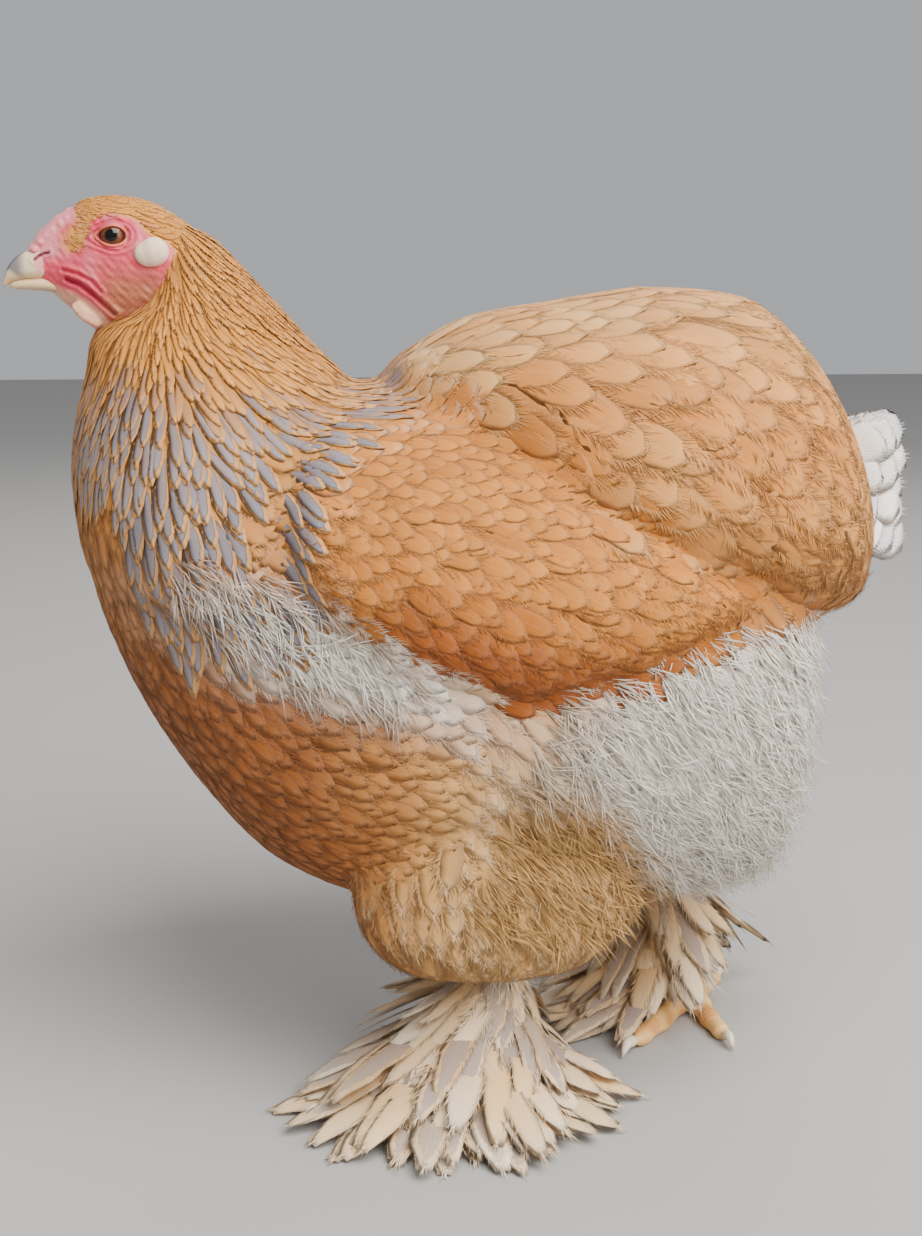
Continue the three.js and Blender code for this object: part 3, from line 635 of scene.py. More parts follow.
def fringe(coat, line, side, width, fall, colours, barbs, length, thin, inset, span, seed):
    """Loose barbs, each a thin closed sliver, round the end of every vane."""
    centres, ups, ways = line
    local = np.random.default_rng(seed + 500)
    count, rows = centres.shape[:2]
    share = (np.arange(barbs) + 0.5) / barbs * 2 - 1
    at = (1 - span * np.abs(share) ** 1.3) * (rows - 1) * 0.98
    low = np.floor(at).astype(int)

    def along(values):
        part = (at - low).reshape((1, barbs) + (1,) * (values.ndim - 2))
        return values[:, low] * (1 - part) + values[:, low + 1] * part

    up, way, out = along(ups), along(ways), along(side)
    shift = share / np.abs(share) * np.minimum(1, np.abs(share) * 3)
    sunk = np.where(share < 0, along(fall[..., 0]), along(fall[..., 1])) * (inset * shift) ** 2
    root = along(centres) + out * (shift[None, :] * along(width) * inset)[..., None] + up * sunk[..., None]
    angle = np.radians(8 + 34 * np.abs(share)) * shift + local.normal(0, 0.16, (count, barbs))
    go = unit(way * np.cos(angle)[..., None] + out * np.sin(angle)[..., None] - 0.04 * up)
    reach = (length * local.uniform(0.55, 1.25, (count, barbs)))[..., None]
    across = unit(np.cross(go, up)) * thin
    points = np.stack([root - across, root + across, root + up * thin * 0.4, root + go * reach], 2)
    points[..., 2] = np.maximum(points[..., 2], FLOOR_GAPS["barb"])
    sliver = np.array([(0, 1, 2, 2), (0, 3, 1, 1), (1, 3, 2, 2), (2, 3, 0, 0)])
    faces = (np.arange(barbs)[:, None, None] * 4 + sliver[None]).reshape(-1, 4)
    vane = np.repeat(np.stack([0.5 + 0.5 * inset * shift, at / (rows - 1)], 1), 4, 0)
    lie = np.repeat(up[:, :, None], 4, 2)
    coat.put(points.reshape(count, -1, 3), faces, vane, centres[:, 0], *colours, lie)


def vanes(coat, line, half, shape, tint, mark, thick=0.5, camber=0.16, columns=5, ragged=0.06, seed=1,
          barbs=(12, 2.6, 0.28, 0.82, 0.6), fall=0):
    """Closed thin vanes along lines: the line's centres, ups and ways are (count, rows, 3)."""
    centres, ups, ways = line
    local = np.random.default_rng(seed)
    count, rows = centres.shape[:2]
    side = unit(np.cross(ups, ways))
    width = outline_of(shape, rows)[None, :] * half[:, None]
    u = np.linspace(-1, 1, columns)
    wave = 1 + ragged * local.normal(size=(count, rows, columns)) * (np.abs(u) > 0.6)
    reach = u[None, None, :] * width[:, :, None] * wave
    fall = fall - camber * np.repeat(width[..., None], 2, 2)
    drop = np.where(u < 0, fall[..., :1], fall[..., 1:]) * u**2
    twist = local.normal(0, 0.015, (count, 1, 1)) * u[None, None, :] * width[:, :, None]
    sheet = centres[:, :, None] + side[:, :, None] * reach[..., None]
    sheet = sheet + ups[:, :, None] * (drop + twist)[..., None]
    lens = (1 - u**2)[None, None, :] * thick / 2 * np.sin(np.linspace(0, np.pi, rows))[None, :, None] ** 0.5
    top = sheet + ups[:, :, None] * lens[..., None]
    low = (sheet - ups[:, :, None] * lens[..., None])[:, 1:-1, 1:-1]
    top[..., 2] = np.maximum(top[..., 2], FLOOR_GAPS["top"])
    low[..., 2] = np.maximum(low[..., 2], FLOOR_GAPS["low"])
    bow = unit(ups[:, :, None] + side[:, :, None] * (0.22 * u)[None, None, :, None])
    uu, vv = np.meshgrid(u * 0.5 + 0.5, np.linspace(0, 1, rows))
    place = np.stack([uu, vv], -1)

    def both(top, low):
        """The values of the whole upper sheet, and of the lower one within its rim."""
        return np.concatenate([top.reshape(*top.shape[:-3], -1, top.shape[-1]),
                               low.reshape(*low.shape[:-3], -1, low.shape[-1])], -2)

    def over(r, c):
        return r * columns + c

    def under(r, c):
        if r in (0, rows - 1) or c in (0, columns - 1):
            return over(r, c)
        return rows * columns + (r - 1) * (columns - 2) + c - 1

    quads = []
    for r in range(rows - 1):
        for c in range(columns - 1):
            quads.append((over(r, c), over(r, c + 1), over(r + 1, c + 1), over(r + 1, c)))
            quads.append((under(r, c), under(r + 1, c), under(r + 1, c + 1), under(r, c + 1)))
    colours = (tint, local.random((count, 1, 1)), mark)
    fringe(coat, line, side, width, fall, colours, *barbs, seed)
    coat.put(both(top, low), quads, both(place, place[1:-1, 1:-1]), centres[:, 0], *colours,
             both(bow, bow[:, 1:-1, 1:-1]))


def blades(coat, roots, ways, ups, lengths, width, tint, seed, curl=0.25, rows=3):
    """Closed three-sided blades of down, each from a root along its way."""
    local = np.random.default_rng(seed)
    count = len(roots)
    s = np.linspace(0, 1, rows)
    bend = unit(local.normal(size=(count, 3))) * curl
    line = roots[:, None] + ways[:, None] * (lengths[:, None] * s)[..., None]
    line = line + bend[:, None] * (lengths[:, None] * s**2)[..., None]
    side = unit(np.cross(ways, ups))
    rise = unit(np.cross(side, ways))
    slim = width[:, None] * np.interp(s, [0, 0.4, 0.7, 1], [0.6, 1.0, 0.8, 0.05])[None, :]
    ring = []
    for turn in np.radians([0, 120, 240]):
        out = side[:, None] * math.cos(turn) + rise[:, None] * math.sin(turn) * 0.4
        ring.append(line + out * slim[..., None])
    shaft = np.stack(ring, 2)[:, : rows - 1].reshape(count, -1, 3)
    points = np.concatenate([shaft, line[:, -1:]], 1)
    points[..., 2] = np.maximum(points[..., 2], FLOOR_GAPS["down"])
    tip = 3 * (rows - 1)
    tris = [(0, 2, 1, 1)]
    for r in range(rows - 1):
        for k in range(3):
            a, b = r * 3 + k, r * 3 + (k + 1) % 3
            tris += [(a, b, b + 3, b + 3), (a, b + 3, a + 3, a + 3)] if r < rows - 2 else [(a, b, tip, tip)]
    vane = np.stack([np.full(tip + 1, 0.5), np.append(np.repeat(s[: rows - 1], 3), 1.0)], 1)
    lie = np.repeat(ups[:, None], tip + 1, 1)
    coat.put(points, tris, vane, roots, tint, local.random((count, 1, 1)), np.zeros((count, 4)), lie)


# Colours, as linear light
def rgb(r, g, b):
    value = np.array([r, g, b]) / 255
    return np.where(value <= 0.04045, value / 12.92, ((value + 0.055) / 1.055) ** 2.4)


BUFF = rgb(194, 124, 52)
GOLD = rgb(208, 138, 50)
PALE = rgb(220, 176, 114)
CREAM = rgb(238, 216, 180)
WHITE = rgb(255, 247, 233)
RUSSET_AND_SHADE = rgb(158, 82, 28)
# colour of the painted shade on the lower front of the breast
BREAST_SHADE = rgb(150, 84, 34)
LAVENDER = rgb(150, 138, 140)
SLATE = rgb(130, 124, 132)


def mixed(a, b, share):
    return a + (b - a) * np.asarray(share)[..., None]


def coat_colour(p):
    """The coat's colour at spots of the body: its own colour, with painted shade on the lower front of the
    breast.
    """
    x, y, z = p.T
    upper = smoothstep(0.0, 1.0, noise(p, 70, 0)) * 0.4 + 0.6 * smoothstep(370, 425, z)
    out = mixed(BUFF, PALE, 0.7 * upper)
    neck = smoothstep(330, 400, z) * smoothstep(-60, -110, x)
    out = mixed(out, GOLD, 0.75 * neck)
    saddle = smoothstep(368, 380, z) * smoothstep(402, 392, z)
    out = mixed(out, PALE, 0.8 * saddle * smoothstep(-100, -70, x) * smoothstep(-5, -40, x))
    # painted shade: the lower front of the breast is darkened and browned where it faces down, away from the
    # light
    front = smoothstep(-50, -130, x) * smoothstep(330, 250, z)
    out = mixed(out, BREAST_SHADE, 0.9 * front)
    under = smoothstep(255, 205, z - 0.1 * x) * smoothstep(-100, -20, x)
    out = mixed(out, PALE, 0.85 * under)
    white = smoothstep(-25, 60, x + 0.45 * (235 - z)) * smoothstep(275, 255, z - 0.05 * x)
    sole = np.interp(x, [35, 90], [195, 112])
    out = mixed(out, WHITE, white * smoothstep(sole - 18, sole + 18, z))
    patch = bump(x, -100, 54) * bump(z + 0.42 * (x + 108), 272, 19)
    out = mixed(out, WHITE, np.clip(1.8 * patch, 0, 1))
    return mixed(out, CREAM, 0.7 * smoothstep(92, 70, z))


# Materials
class Wires:
    """A material, with short ways to lay its shader nodes."""

    def __init__(self, name, roughness, sheen=0.0, specular=0.3):
        self.made = bpy.data.materials.new(name)
        self.made.use_nodes = True
        self.tree = self.made.node_tree
        self.shader = self.tree.nodes["Principled BSDF"].inputs
        self.shader["Roughness"].default_value = roughness
        self.shader["Sheen Weight"].default_value = sheen
        self.shader["Sheen Roughness"].default_value = 0.5
        self.shader["Specular IOR Level"].default_value = specular

    def node(self, kind, **values):
        made = self.tree.nodes.new(kind)
        for key, value in values.items():
            setattr(made, key, value)
        return made

    def feed(self, socket, value):
        if isinstance(value, bpy.types.NodeSocket):
            self.tree.links.new(value, socket)
        else:
            socket.default_value = value

    def math(self, operation, a, b=0.0, c=0.0):
        made = self.node("ShaderNodeMath", operation=operation)
        for socket, value in zip(made.inputs, (a, b, c)):
            self.feed(socket, value)
        return made.outputs[0]

    def ramp(self, value, low, high, to_low=0.0, to_high=1.0):
        made = self.node("ShaderNodeMapRange", interpolation_type="SMOOTHSTEP")
        for socket, given in zip(made.inputs, (value, low, high, to_low, to_high)):
            self.feed(socket, given)
        return made.outputs[0]

    def mix(self, share, a, b, blend="MIX"):
        made = self.node("ShaderNodeMix", data_type="RGBA", blend_type=blend)
        self.feed(made.inputs[0], share)
        for socket, value in ((made.inputs[6], a), (made.inputs[7], b)):
            self.feed(socket, (*value, 1.0) if isinstance(value, (tuple, list, np.ndarray)) else value)
        return made.outputs[2]

    def attribute(self, name):
        return self.node("ShaderNodeAttribute", attribute_name=name)

    def shaded(self, colour, shade):
        """A colour times a grey."""
        grey = self.node("ShaderNodeCombineColor")
        for socket in grey.inputs:
            self.feed(socket, shade)
        return self.mix(1.0, colour, grey.outputs[0], "MULTIPLY")

    def texture(self, scale, detail=3.0, vector=None):
        made = self.node("ShaderNodeTexNoise")
        made.inputs["Scale"].default_value = scale
        made.inputs["Detail"].default_value = detail
        self.feed(made.inputs["Vector"], self.place() if vector is None else vector)
        return made.outputs[0]

    def bump(self, height, strength, distance, normal=None):
        made = self.node("ShaderNodeBump")
        if normal is not None:
            self.feed(made.inputs["Normal"], normal)
        made.inputs["Strength"].default_value = strength
        made.inputs["Distance"].default_value = distance
        self.feed(made.inputs["Height"], height)
        return made.outputs[0]

    def soft_normal(self, share):
        """The form's own normal mixed with that of the body under it, so that the coat reads as one mass."""
        own = self.node("ShaderNodeNewGeometry").outputs["Normal"]
        lie = self.attribute("lie").outputs["Vector"]
        made = self.node("ShaderNodeMix", data_type="VECTOR")
        both = self.node("ShaderNodeVectorMath", operation="DOT_PRODUCT")
        self.feed(both.inputs[0], own)
        self.feed(both.inputs[1], lie)
        self.feed(made.inputs[0], self.ramp(both.outputs["Value"], -0.5, 0.1, 0.0, share))
        self.feed(made.inputs[4], own)
        self.feed(made.inputs[5], lie)
        unit_length = self.node("ShaderNodeVectorMath", operation="NORMALIZE")
        self.feed(unit_length.inputs[0], made.outputs[1])
        return unit_length.outputs[0]

    def place(self):
        return self.node("ShaderNodeTexCoord").outputs["Object"]

    def vane_place(self):
        """How far a spot lies across a vane and along it."""
        split = self.node("ShaderNodeSeparateXYZ")
        self.feed(split.inputs[0], self.node("ShaderNodeUVMap", uv_map="vane").outputs[0])
        return split.outputs[0], split.outputs[1]

    def finish(self, colour, normal=None):
        self.feed(self.shader["Base Color"], colour)
        if normal is not None:
            self.feed(self.shader["Normal"], normal)
        return self.made


def feather_material(
    name, barbs=26.0, tip=0.04, sheen=0.04, roughness=0.7, soft=0.85, shade_warmth=0.3, depth=0.35
):
    w = Wires(name, roughness, sheen, 0.22)
    width, along = w.vane_place()
    off = w.math("ABSOLUTE", w.math("MULTIPLY_ADD", width, 2.0, -1.0))
    tint, mark = w.attribute("tint"), w.attribute("mark")
    # barbs run out and forward from the shaft
    wobble = w.texture(260.0, 2.0)
    run = w.math("MULTIPLY_ADD", wobble, 0.12, w.math("MULTIPLY_ADD", off, -0.55, along))
    fine = w.math("MULTIPLY_ADD", w.math("SINE", w.math("MULTIPLY", run, barbs * 6.2832)), 0.5, 0.5)
    # a marked centre inside a dark thread, with the rim left plain
    far = w.math("POWER", w.math("DIVIDE", w.math("SUBTRACT", along, 0.6), 0.36), 2.0)
    wide = w.math("POWER", w.math("DIVIDE", off, 0.74), 2.0)
    reach = w.math("SQRT", w.math("ADD", far, wide))
    reach = w.math("MULTIPLY_ADD", w.math("SUBTRACT", wobble, 0.5), 0.5, reach)
    amount = mark.outputs["Alpha"]
    dark = w.mix(1.0, mark.outputs["Color"], (0.52, 0.5, 0.5), "MULTIPLY")
    colour = w.mix(w.math("MULTIPLY", w.ramp(reach, 1.04, 0.9), amount), tint.outputs["Color"], dark)
    colour = w.mix(w.math("MULTIPLY", w.ramp(reach, 0.9, 0.76), amount), colour, mark.outputs["Color"])
    # a paler rim towards the edge and the end: partly the vane's own pale fringe, partly painted highlight
    rim = w.math("MAXIMUM", w.ramp(off, 0.55, 1.0), w.ramp(along, 0.78, 1.0))
    colour = w.mix(w.math("MULTIPLY", rim, tip), colour, (0.98, 0.9, 0.78))
    # painted shade on the root half, where the vane above overlaps it: deeper and warmer; and each vane has
    # its own random tone
    deep = w.mix(1.0, colour, (0.9, 0.66, 0.44), "MULTIPLY")
    colour = w.mix(w.ramp(along, 0.6, 0.92, shade_warmth, 0.0), colour, deep)
    own = w.math("MULTIPLY_ADD", tint.outputs["Alpha"], 0.2, 0.9)
    # painted shade: the covered root end is darker, the free end a touch brighter
    shade = w.math("MULTIPLY", w.ramp(along, 0.6, 0.92, 0.94, 1.02), own)
    shade = w.math("MULTIPLY", shade, w.math("MULTIPLY_ADD", fine, 0.1, 0.94))
    shaft = w.ramp(off, 0.075, 0.03)
    colour = w.mix(w.math("MULTIPLY", shaft, 0.03), w.shaded(colour, shade), (0.95, 0.86, 0.7))
    height = w.math("MULTIPLY_ADD", shaft, 0.8, fine)
    return w.finish(colour, w.bump(height, depth, 0.0003, w.soft_normal(soft)))


def down_material(name):
    w = Wires(name, 0.8, 0.08, 0.1)
    tint = w.attribute("tint")
    own = w.math("MULTIPLY_ADD", tint.outputs["Alpha"], 0.16, 0.92)
    # painted shade: each blade is darker towards its root, in among the tuft
    shade = w.math("MULTIPLY", w.ramp(w.vane_place()[1], 0.0, 0.6, 0.92, 1.0), own)
    return w.finish(w.shaded(tint.outputs["Color"], shade), w.soft_normal(0.9))


def skin_material(name):
    w = Wires(name, 0.5, 0.05, 0.4)
    shade = w.math("MULTIPLY_ADD", w.texture(180.0), 0.3, 0.85)
    w.shader["Subsurface Weight"].default_value = 0.08
    w.shader["Subsurface Radius"].default_value = (0.004, 0.0015, 0.001)
    w.shader["Subsurface Scale"].default_value = 0.5
    colour = w.shaded(w.attribute("tint").outputs["Color"], shade)
    return w.finish(colour, w.bump(w.texture(900.0, 4.0), 0.55, 0.0006))


PLUMAGE = feather_material("plumage")
HACKLE_MATERIAL = feather_material("hackle_plumage", 30.0, 0.08, 0.04, 0.6, 0.75, 0.25)
SOFT_MATERIAL = feather_material("soft_plumage", 18.0, 0.16, 0.05, 0.75, 0.85, 0.25, 0.45)
DOWN_MATERIAL = down_material("down")
SKIN_MATERIAL = skin_material("skin")


def set_tint(obj, colours):
    layer = obj.data.color_attributes.new("tint", "FLOAT_COLOR", "POINT")
    layer.data.foreach_set("color", flat(np.hstack([colours, np.ones((len(colours), 1))])))


# Plumage laid on the body
def of_part(*wanted):
    return np.isin(face_part, [names.index(n) for n in wanted])


fx, fy, fz = body_skin.centre.T


def at_spots(value, spots):
    """A value that is a number or a function of the spots."""
    return value(spots) if callable(value) else np.full(len(spots), float(value))


def lay(
    coat, skin, spots, way, length, half, shape, lift, tint=coat_colour, mark=None, rows=8, seed=1, **more
):
    """Feathers from the spots. Their edges hug the skin, and lift is their rise at root and end."""
    local = np.random.default_rng(seed + 1000)
    count = len(spots)
    ways = way(spots) + local.normal(0, 0.1, spots.shape)
    lengths = at_spots(length, spots) * local.uniform(0.86, 1.14, count)
    halves = at_spots(half, spots) * local.uniform(0.88, 1.12, count)
    centres, ups, along = paths(skin.ground, spots, ways, lengths, rows)
    s = np.linspace(0, 1, rows)
    width = outline_of(shape, rows)[None, :] * halves[:, None]
    side = unit(np.cross(ups, along))
    edges = []
    for sign in (-1, 1):
        edge = centres + side * (sign * width)[..., None]
        found, _ = skin.ground(edge.reshape(-1, 3))
        level = ((found.reshape(edge.shape) - edge) * ups).sum(2)
        edges.append(np.clip(level, -0.7 * width, 0.35 * width))
    rise = lift[0] + (lift[1] - lift[0]) * s
    spread = local.normal(0, 0.06, (count, 1)) + rise[None, :]
    centres = centres + ups * spread[..., None]
    colours = tint(spots) * local.uniform(0.93, 1.07, (count, 1))
    marks = mark(spots) if mark else np.zeros((count, 4))
    line = (centres, ups, along)
    vanes(coat, line, halves, shape, colours, marks, seed=seed, fall=np.stack(edges, 2), **more)


def way_breast(p):
    back = smoothstep(-215, -60, p[:, 0])
    low = smoothstep(260, 120, p[:, 2])
    out = 0.12 * np.sign(p[:, 1]) * (1 - back)
    return np.stack([0.3 + 0.9 * back + 0.5 * low, out, -1 + 0.65 * back], 1)


def way_cape(p):
    x, y, z = p.T
    down = 26 + 0.42 * np.maximum(440 - z, 0)
    return unit(np.stack([(x + 172) * 0.9, 0.25 * y, -down], 1))


def way_wing(p):
    low = smoothstep(320, 255, p[:, 2] + 0.35 * p[:, 0])
    return np.stack([np.ones(len(p)), np.zeros(len(p)), -0.4 - 0.35 * low], 1)


def way_cushion(p):
    x, y, z = p.T
    out = np.abs(y) / 130
    rear = smoothstep(120, 210, x)
    return np.stack([1 - 0.6 * rear, 0 * x, -0.3 - 0.5 * out**2 - 0.8 * rear], 1)


def way_fluff(p):
    return np.sign(p) * [0, 0.1, 0] + [0.75, 0, -0.8]


def way_thigh(p):
    return np.tile([0.12, 0, -1], (len(p), 1))


def way_back(p):
    return np.tile([1, 0, -0.15], (len(p), 1))


def hackle_mark(p):
    """Lavender centres on the lower hackle, with plain feathers at the throat and nape."""
    x, y, z = p.T
    low = smoothstep(404, 372, z + 0.1 * (x + 150) + 8 * noise(p, 14, 40))
    front = smoothstep(-212, -196, x)
    colour = mixed(LAVENDER, SLATE, smoothstep(-0.4, 0.8, noise(p, 40, 8)))
    return np.hstack([colour, (low * front)[:, None]])


def hackle_tint(p):
    pale = smoothstep(410, 350, p[:, 2])
    return mixed(mixed(GOLD, BUFF, 0.7 * pale), PALE, 0.35 * pale)


def below_hackle(p):
    """Above 0 where the neck's long feathers have ended."""
    edge = np.interp(p[:, 0], [-190, -165, -135, -100, -70, -45], [300, 282, 276, 292, 318, 352])
    return edge - p[:, 2]


cape_face = of_part("cape")
hackle_face = cape_face & (below_hackle(body_skin.centre) < 6)


def build_hackle():
    coat = Coat()
    spots = body_skin.scatter(hackle_face & (fz < 464), np.interp(fz, [350, 395, 430], [5.4, 4.0, 2.7]), 11)
    front = spots[:, 0] < -206
    lay(
        coat, body_skin, spots[~front], way_cape, lambda p: 18 + 20 * smoothstep(440, 360, p[:, 2]),
        lambda p: 1.1 + 3.2 * smoothstep(435, 350, p[:, 2]), "drop", (0.1, 1.5), hackle_tint, hackle_mark,
        seed=12, thick=0.2, camber=0.05, columns=3, barbs=(10, 2.4, 0.22, 0.8, 0.6),
    )
    lay(
        coat, body_skin, spots[front], way_cape, 22, 3.6, "soft", (0.1, 1.2), hackle_tint,
        seed=13, thick=0.2, camber=0.04, columns=3, barbs=(14, 4.0, 0.25, 0.6, 0.7),
    )
    coat.build("coat_hackle", HACKLE_MATERIAL, "hackle", "neck")


torso_face = of_part("torso")
lower_cape = cape_face & ~hackle_face
breast_face = (torso_face & (fx < -40) & (fz < 385) & ~((fz > 340) & (fx > -110))) | lower_cape
back_face = torso_face & (fz > 340) & (fx >= -110) & (fx < 60)


def build_breast():
    coat = Coat()
    lay(
        coat, body_skin, body_skin.scatter(breast_face, 6.2, 21), way_breast, 30, 6.4, "soft",
        (0.1, 0.8), seed=22, rows=7, thick=0.1, camber=0.01, columns=3, barbs=(22, 7.0, 0.38, 0.88, 0.6),
    )
    coat.build("coat_breast", PLUMAGE, "body_feather", "torso")
    coat = Coat()
    spots = body_skin.scatter(back_face, 6.4, 31)
    lay(coat, body_skin, spots, way_back, 30, 8.0, "soft", (0.1, 0.8), seed=32, thick=0.15,
        camber=0.02, barbs=(24, 5.0, 0.28, 0.6, 0.6))
    coat.build("coat_back", SOFT_MATERIAL, "body_feather")


def wing_tint(p):
    # the lower wing is darker and redder: partly its own russet, partly painted shade where it faces down
    low = smoothstep(302, 262, p[:, 2] + 0.3 * p[:, 0]) * smoothstep(-90, -60, p[:, 0])
    return mixed(mixed(BUFF, GOLD, 0.3), RUSSET_AND_SHADE, 0.85 * low) * (0.9, 0.86, 0.76)


def wing_size(p):
    return smoothstep(-90, 60, p[:, 0])


def build_wing(side):
    name = SIDE_NAME[side]
    coat = Coat()
    spots = body_skin.scatter(of_part(f"wing_{name}"), 5.8, 41 + side)
    lay(
        coat, body_skin, spots, way_wing, lambda p: 24 + 14 * wing_size(p),
        lambda p: 5.4 + 1.2 * wing_size(p), "soft", (0.05, 0.65), wing_tint, seed=43 + side,
        thick=0.08, camber=0.01, barbs=(28, 5.5, 0.34, 0.9, 0.5),
    )
    coat.build(f"coat_wing_{name}", PLUMAGE, "wing", f"wing_{name}")


def cushion_size(p):
    return smoothstep(-40, 60, p[:, 0])


def build_cushion(side):
    coat = Coat()
    near = np.sign(fy) == side
    spots = body_skin.scatter(of_part("cushion") & near, 11.5, 51 + side)
    lay(
        coat, body_skin, spots, way_cushion, lambda p: 42 + 10 * cushion_size(p),
        lambda p: 9.5 + 2.5 * cushion_size(p), "soft", (0.05, 0.8), seed=53 + side, thick=0.08, camber=0.01,
        barbs=(56, 9.5, 0.4, 0.9, 0.5),
    )
    coat.build(f"coat_cushion_{SIDE_NAME[side]}", PLUMAGE, "cushion", *once("cushion", side))


def once(node, side):
    """A node that two pieces share is replaced with the left one."""
    return [node] if side == SIDES[0] else []


DOWN_BLADES = 12


def downy(p):
    """How far spots lie in the loose white down behind the thighs and in the patch before the wing."""
    x, y, z = p.T
    rear = smoothstep(0, 70, x + 0.35 * (250 - z)) * smoothstep(268, 250, z - 0.05 * x)
    rear *= smoothstep(100, 135, z)
    patch = bump(x, -102, 50) * bump(z + 0.42 * (x + 108), 273, 20)
    return np.clip(rear + patch, 0, 1)


def build_fluff(side):
    coat = Coat()
    flank = torso_face & (np.sign(fy) == side) & ~breast_face & ~back_face & (fz < 330)
    spots = body_skin.scatter(flank, 8.6, 61 + side)
    lay(
        coat, body_skin, spots, way_fluff, 32, 6.0, "soft", (0.1, 1.0), seed=63 + side,
        rows=7, ragged=0.1, thick=0.1, camber=0.01, columns=3, barbs=(44, 10.0, 0.45, 0.78, 0.85),
    )
    coat.build(f"coat_fluff_{SIDE_NAME[side]}", SOFT_MATERIAL, "fluff", *once("fluff", side))


def build_down(side):
    """Tufts of down: several thin blades from each spot."""
    loose = (np.sign(fy) == side) & (downy(body_skin.centre) > 0.25)
    loose &= ~of_part("wing_left", "wing_right", "cushion")
    spots = body_skin.scatter(loose, 4.4, 65 + side)
    found, normal = body_skin.ground(spots)
    local = np.random.default_rng(67 + side)
    roots = np.repeat(found, DOWN_BLADES, 0)
    count = len(roots)
    roots = roots + local.normal(0, 1.2, (count, 3))
    ups = np.repeat(normal, DOWN_BLADES, 0)
    lean = np.repeat(unit(way_fluff(spots) + local.normal(0, 0.35, spots.shape)), DOWN_BLADES, 0)
    ways = unit(lean - ups * (lean * ups).sum(1, keepdims=True))
    ways = unit(ways + ups * local.uniform(0.02, 0.16, (count, 1)) + local.normal(0, 0.25, (count, 3)) * 0.6)
    lengths = 20 * local.uniform(0.55, 1.2, count)
    tint = np.repeat(coat_colour(spots), DOWN_BLADES, 0) * local.uniform(0.9, 1.1, (count, 1))
    coat = Coat()
    blades(coat, roots, ways, ups, lengths, 0.44 * local.uniform(0.7, 1.3, count), tint, seed=67 + side)
    coat.build(f"coat_down_{SIDE_NAME[side]}", DOWN_MATERIAL, "fluff")


def build_thigh(side):
    name = SIDE_NAME[side]
    coat = Coat()
    spots = body_skin.scatter(of_part(f"thigh_{name}"), 7.6, 71 + side)
    lay(
        coat, body_skin, spots, way_thigh, 38, 6.2, "soft", (0.1, 1.3), seed=73 + side,
        rows=7, ragged=0.1, thick=0.1, camber=0.01, columns=3, barbs=(56, 11.0, 0.42, 0.75, 0.85),
    )
    coat.build(f"coat_thigh_{name}", SOFT_MATERIAL, "fluff", f"thigh_{name}")


# Boots: long feathers that fall from the shank and fan out over the toes
def bezier(a, b, c, rows):
    s = np.linspace(0, 1, rows)[None, :, None]
    a, b, c = a[:, None], b[:, None], c[:, None]
    line = (1 - s) ** 2 * a + 2 * s * (1 - s) * b + s**2 * c
    way = unit((1 - s) * (b - a) + s * (c - b))
    return line, way


def plumes(coat, roots, bends, tips, ups, half, shape, tint, mark, rows=10, **more):
    line, way = bezier(roots, bends, tips, rows)
    side = unit(np.cross(way, ups[:, None]))
    rise = unit(np.cross(side, way))
    line[:, :, 2] = np.maximum(line[:, :, 2], 1.2)
    vanes(coat, (line, rise, way), half, shape, tint, mark, **more)


# rise, root radius, reach, bend height, drop, half width, count, and degrees beyond the fan
BOOT_TIERS = [
    (88, 7, 30, 74, 52, 6.0, 24, 110),
    (76, 7, 43, 66, 34, 7.4, 24, 80),
    (62, 8, 58, 54, 20, 8.6, 22, 60),
    (48, 10, 73, 42, 12, 9.8, 20, 36),
    (36, 13, 88, 30, 7, 10.4, 18, 22),
    (24, 17, 98, 20, 4, 10.6, 16, 10),
    (15, 20, 96, 12, 2.5, 10.0, 14, 4),
]


BOOT_TUFTS, TUFT_BLADES = 420, 7


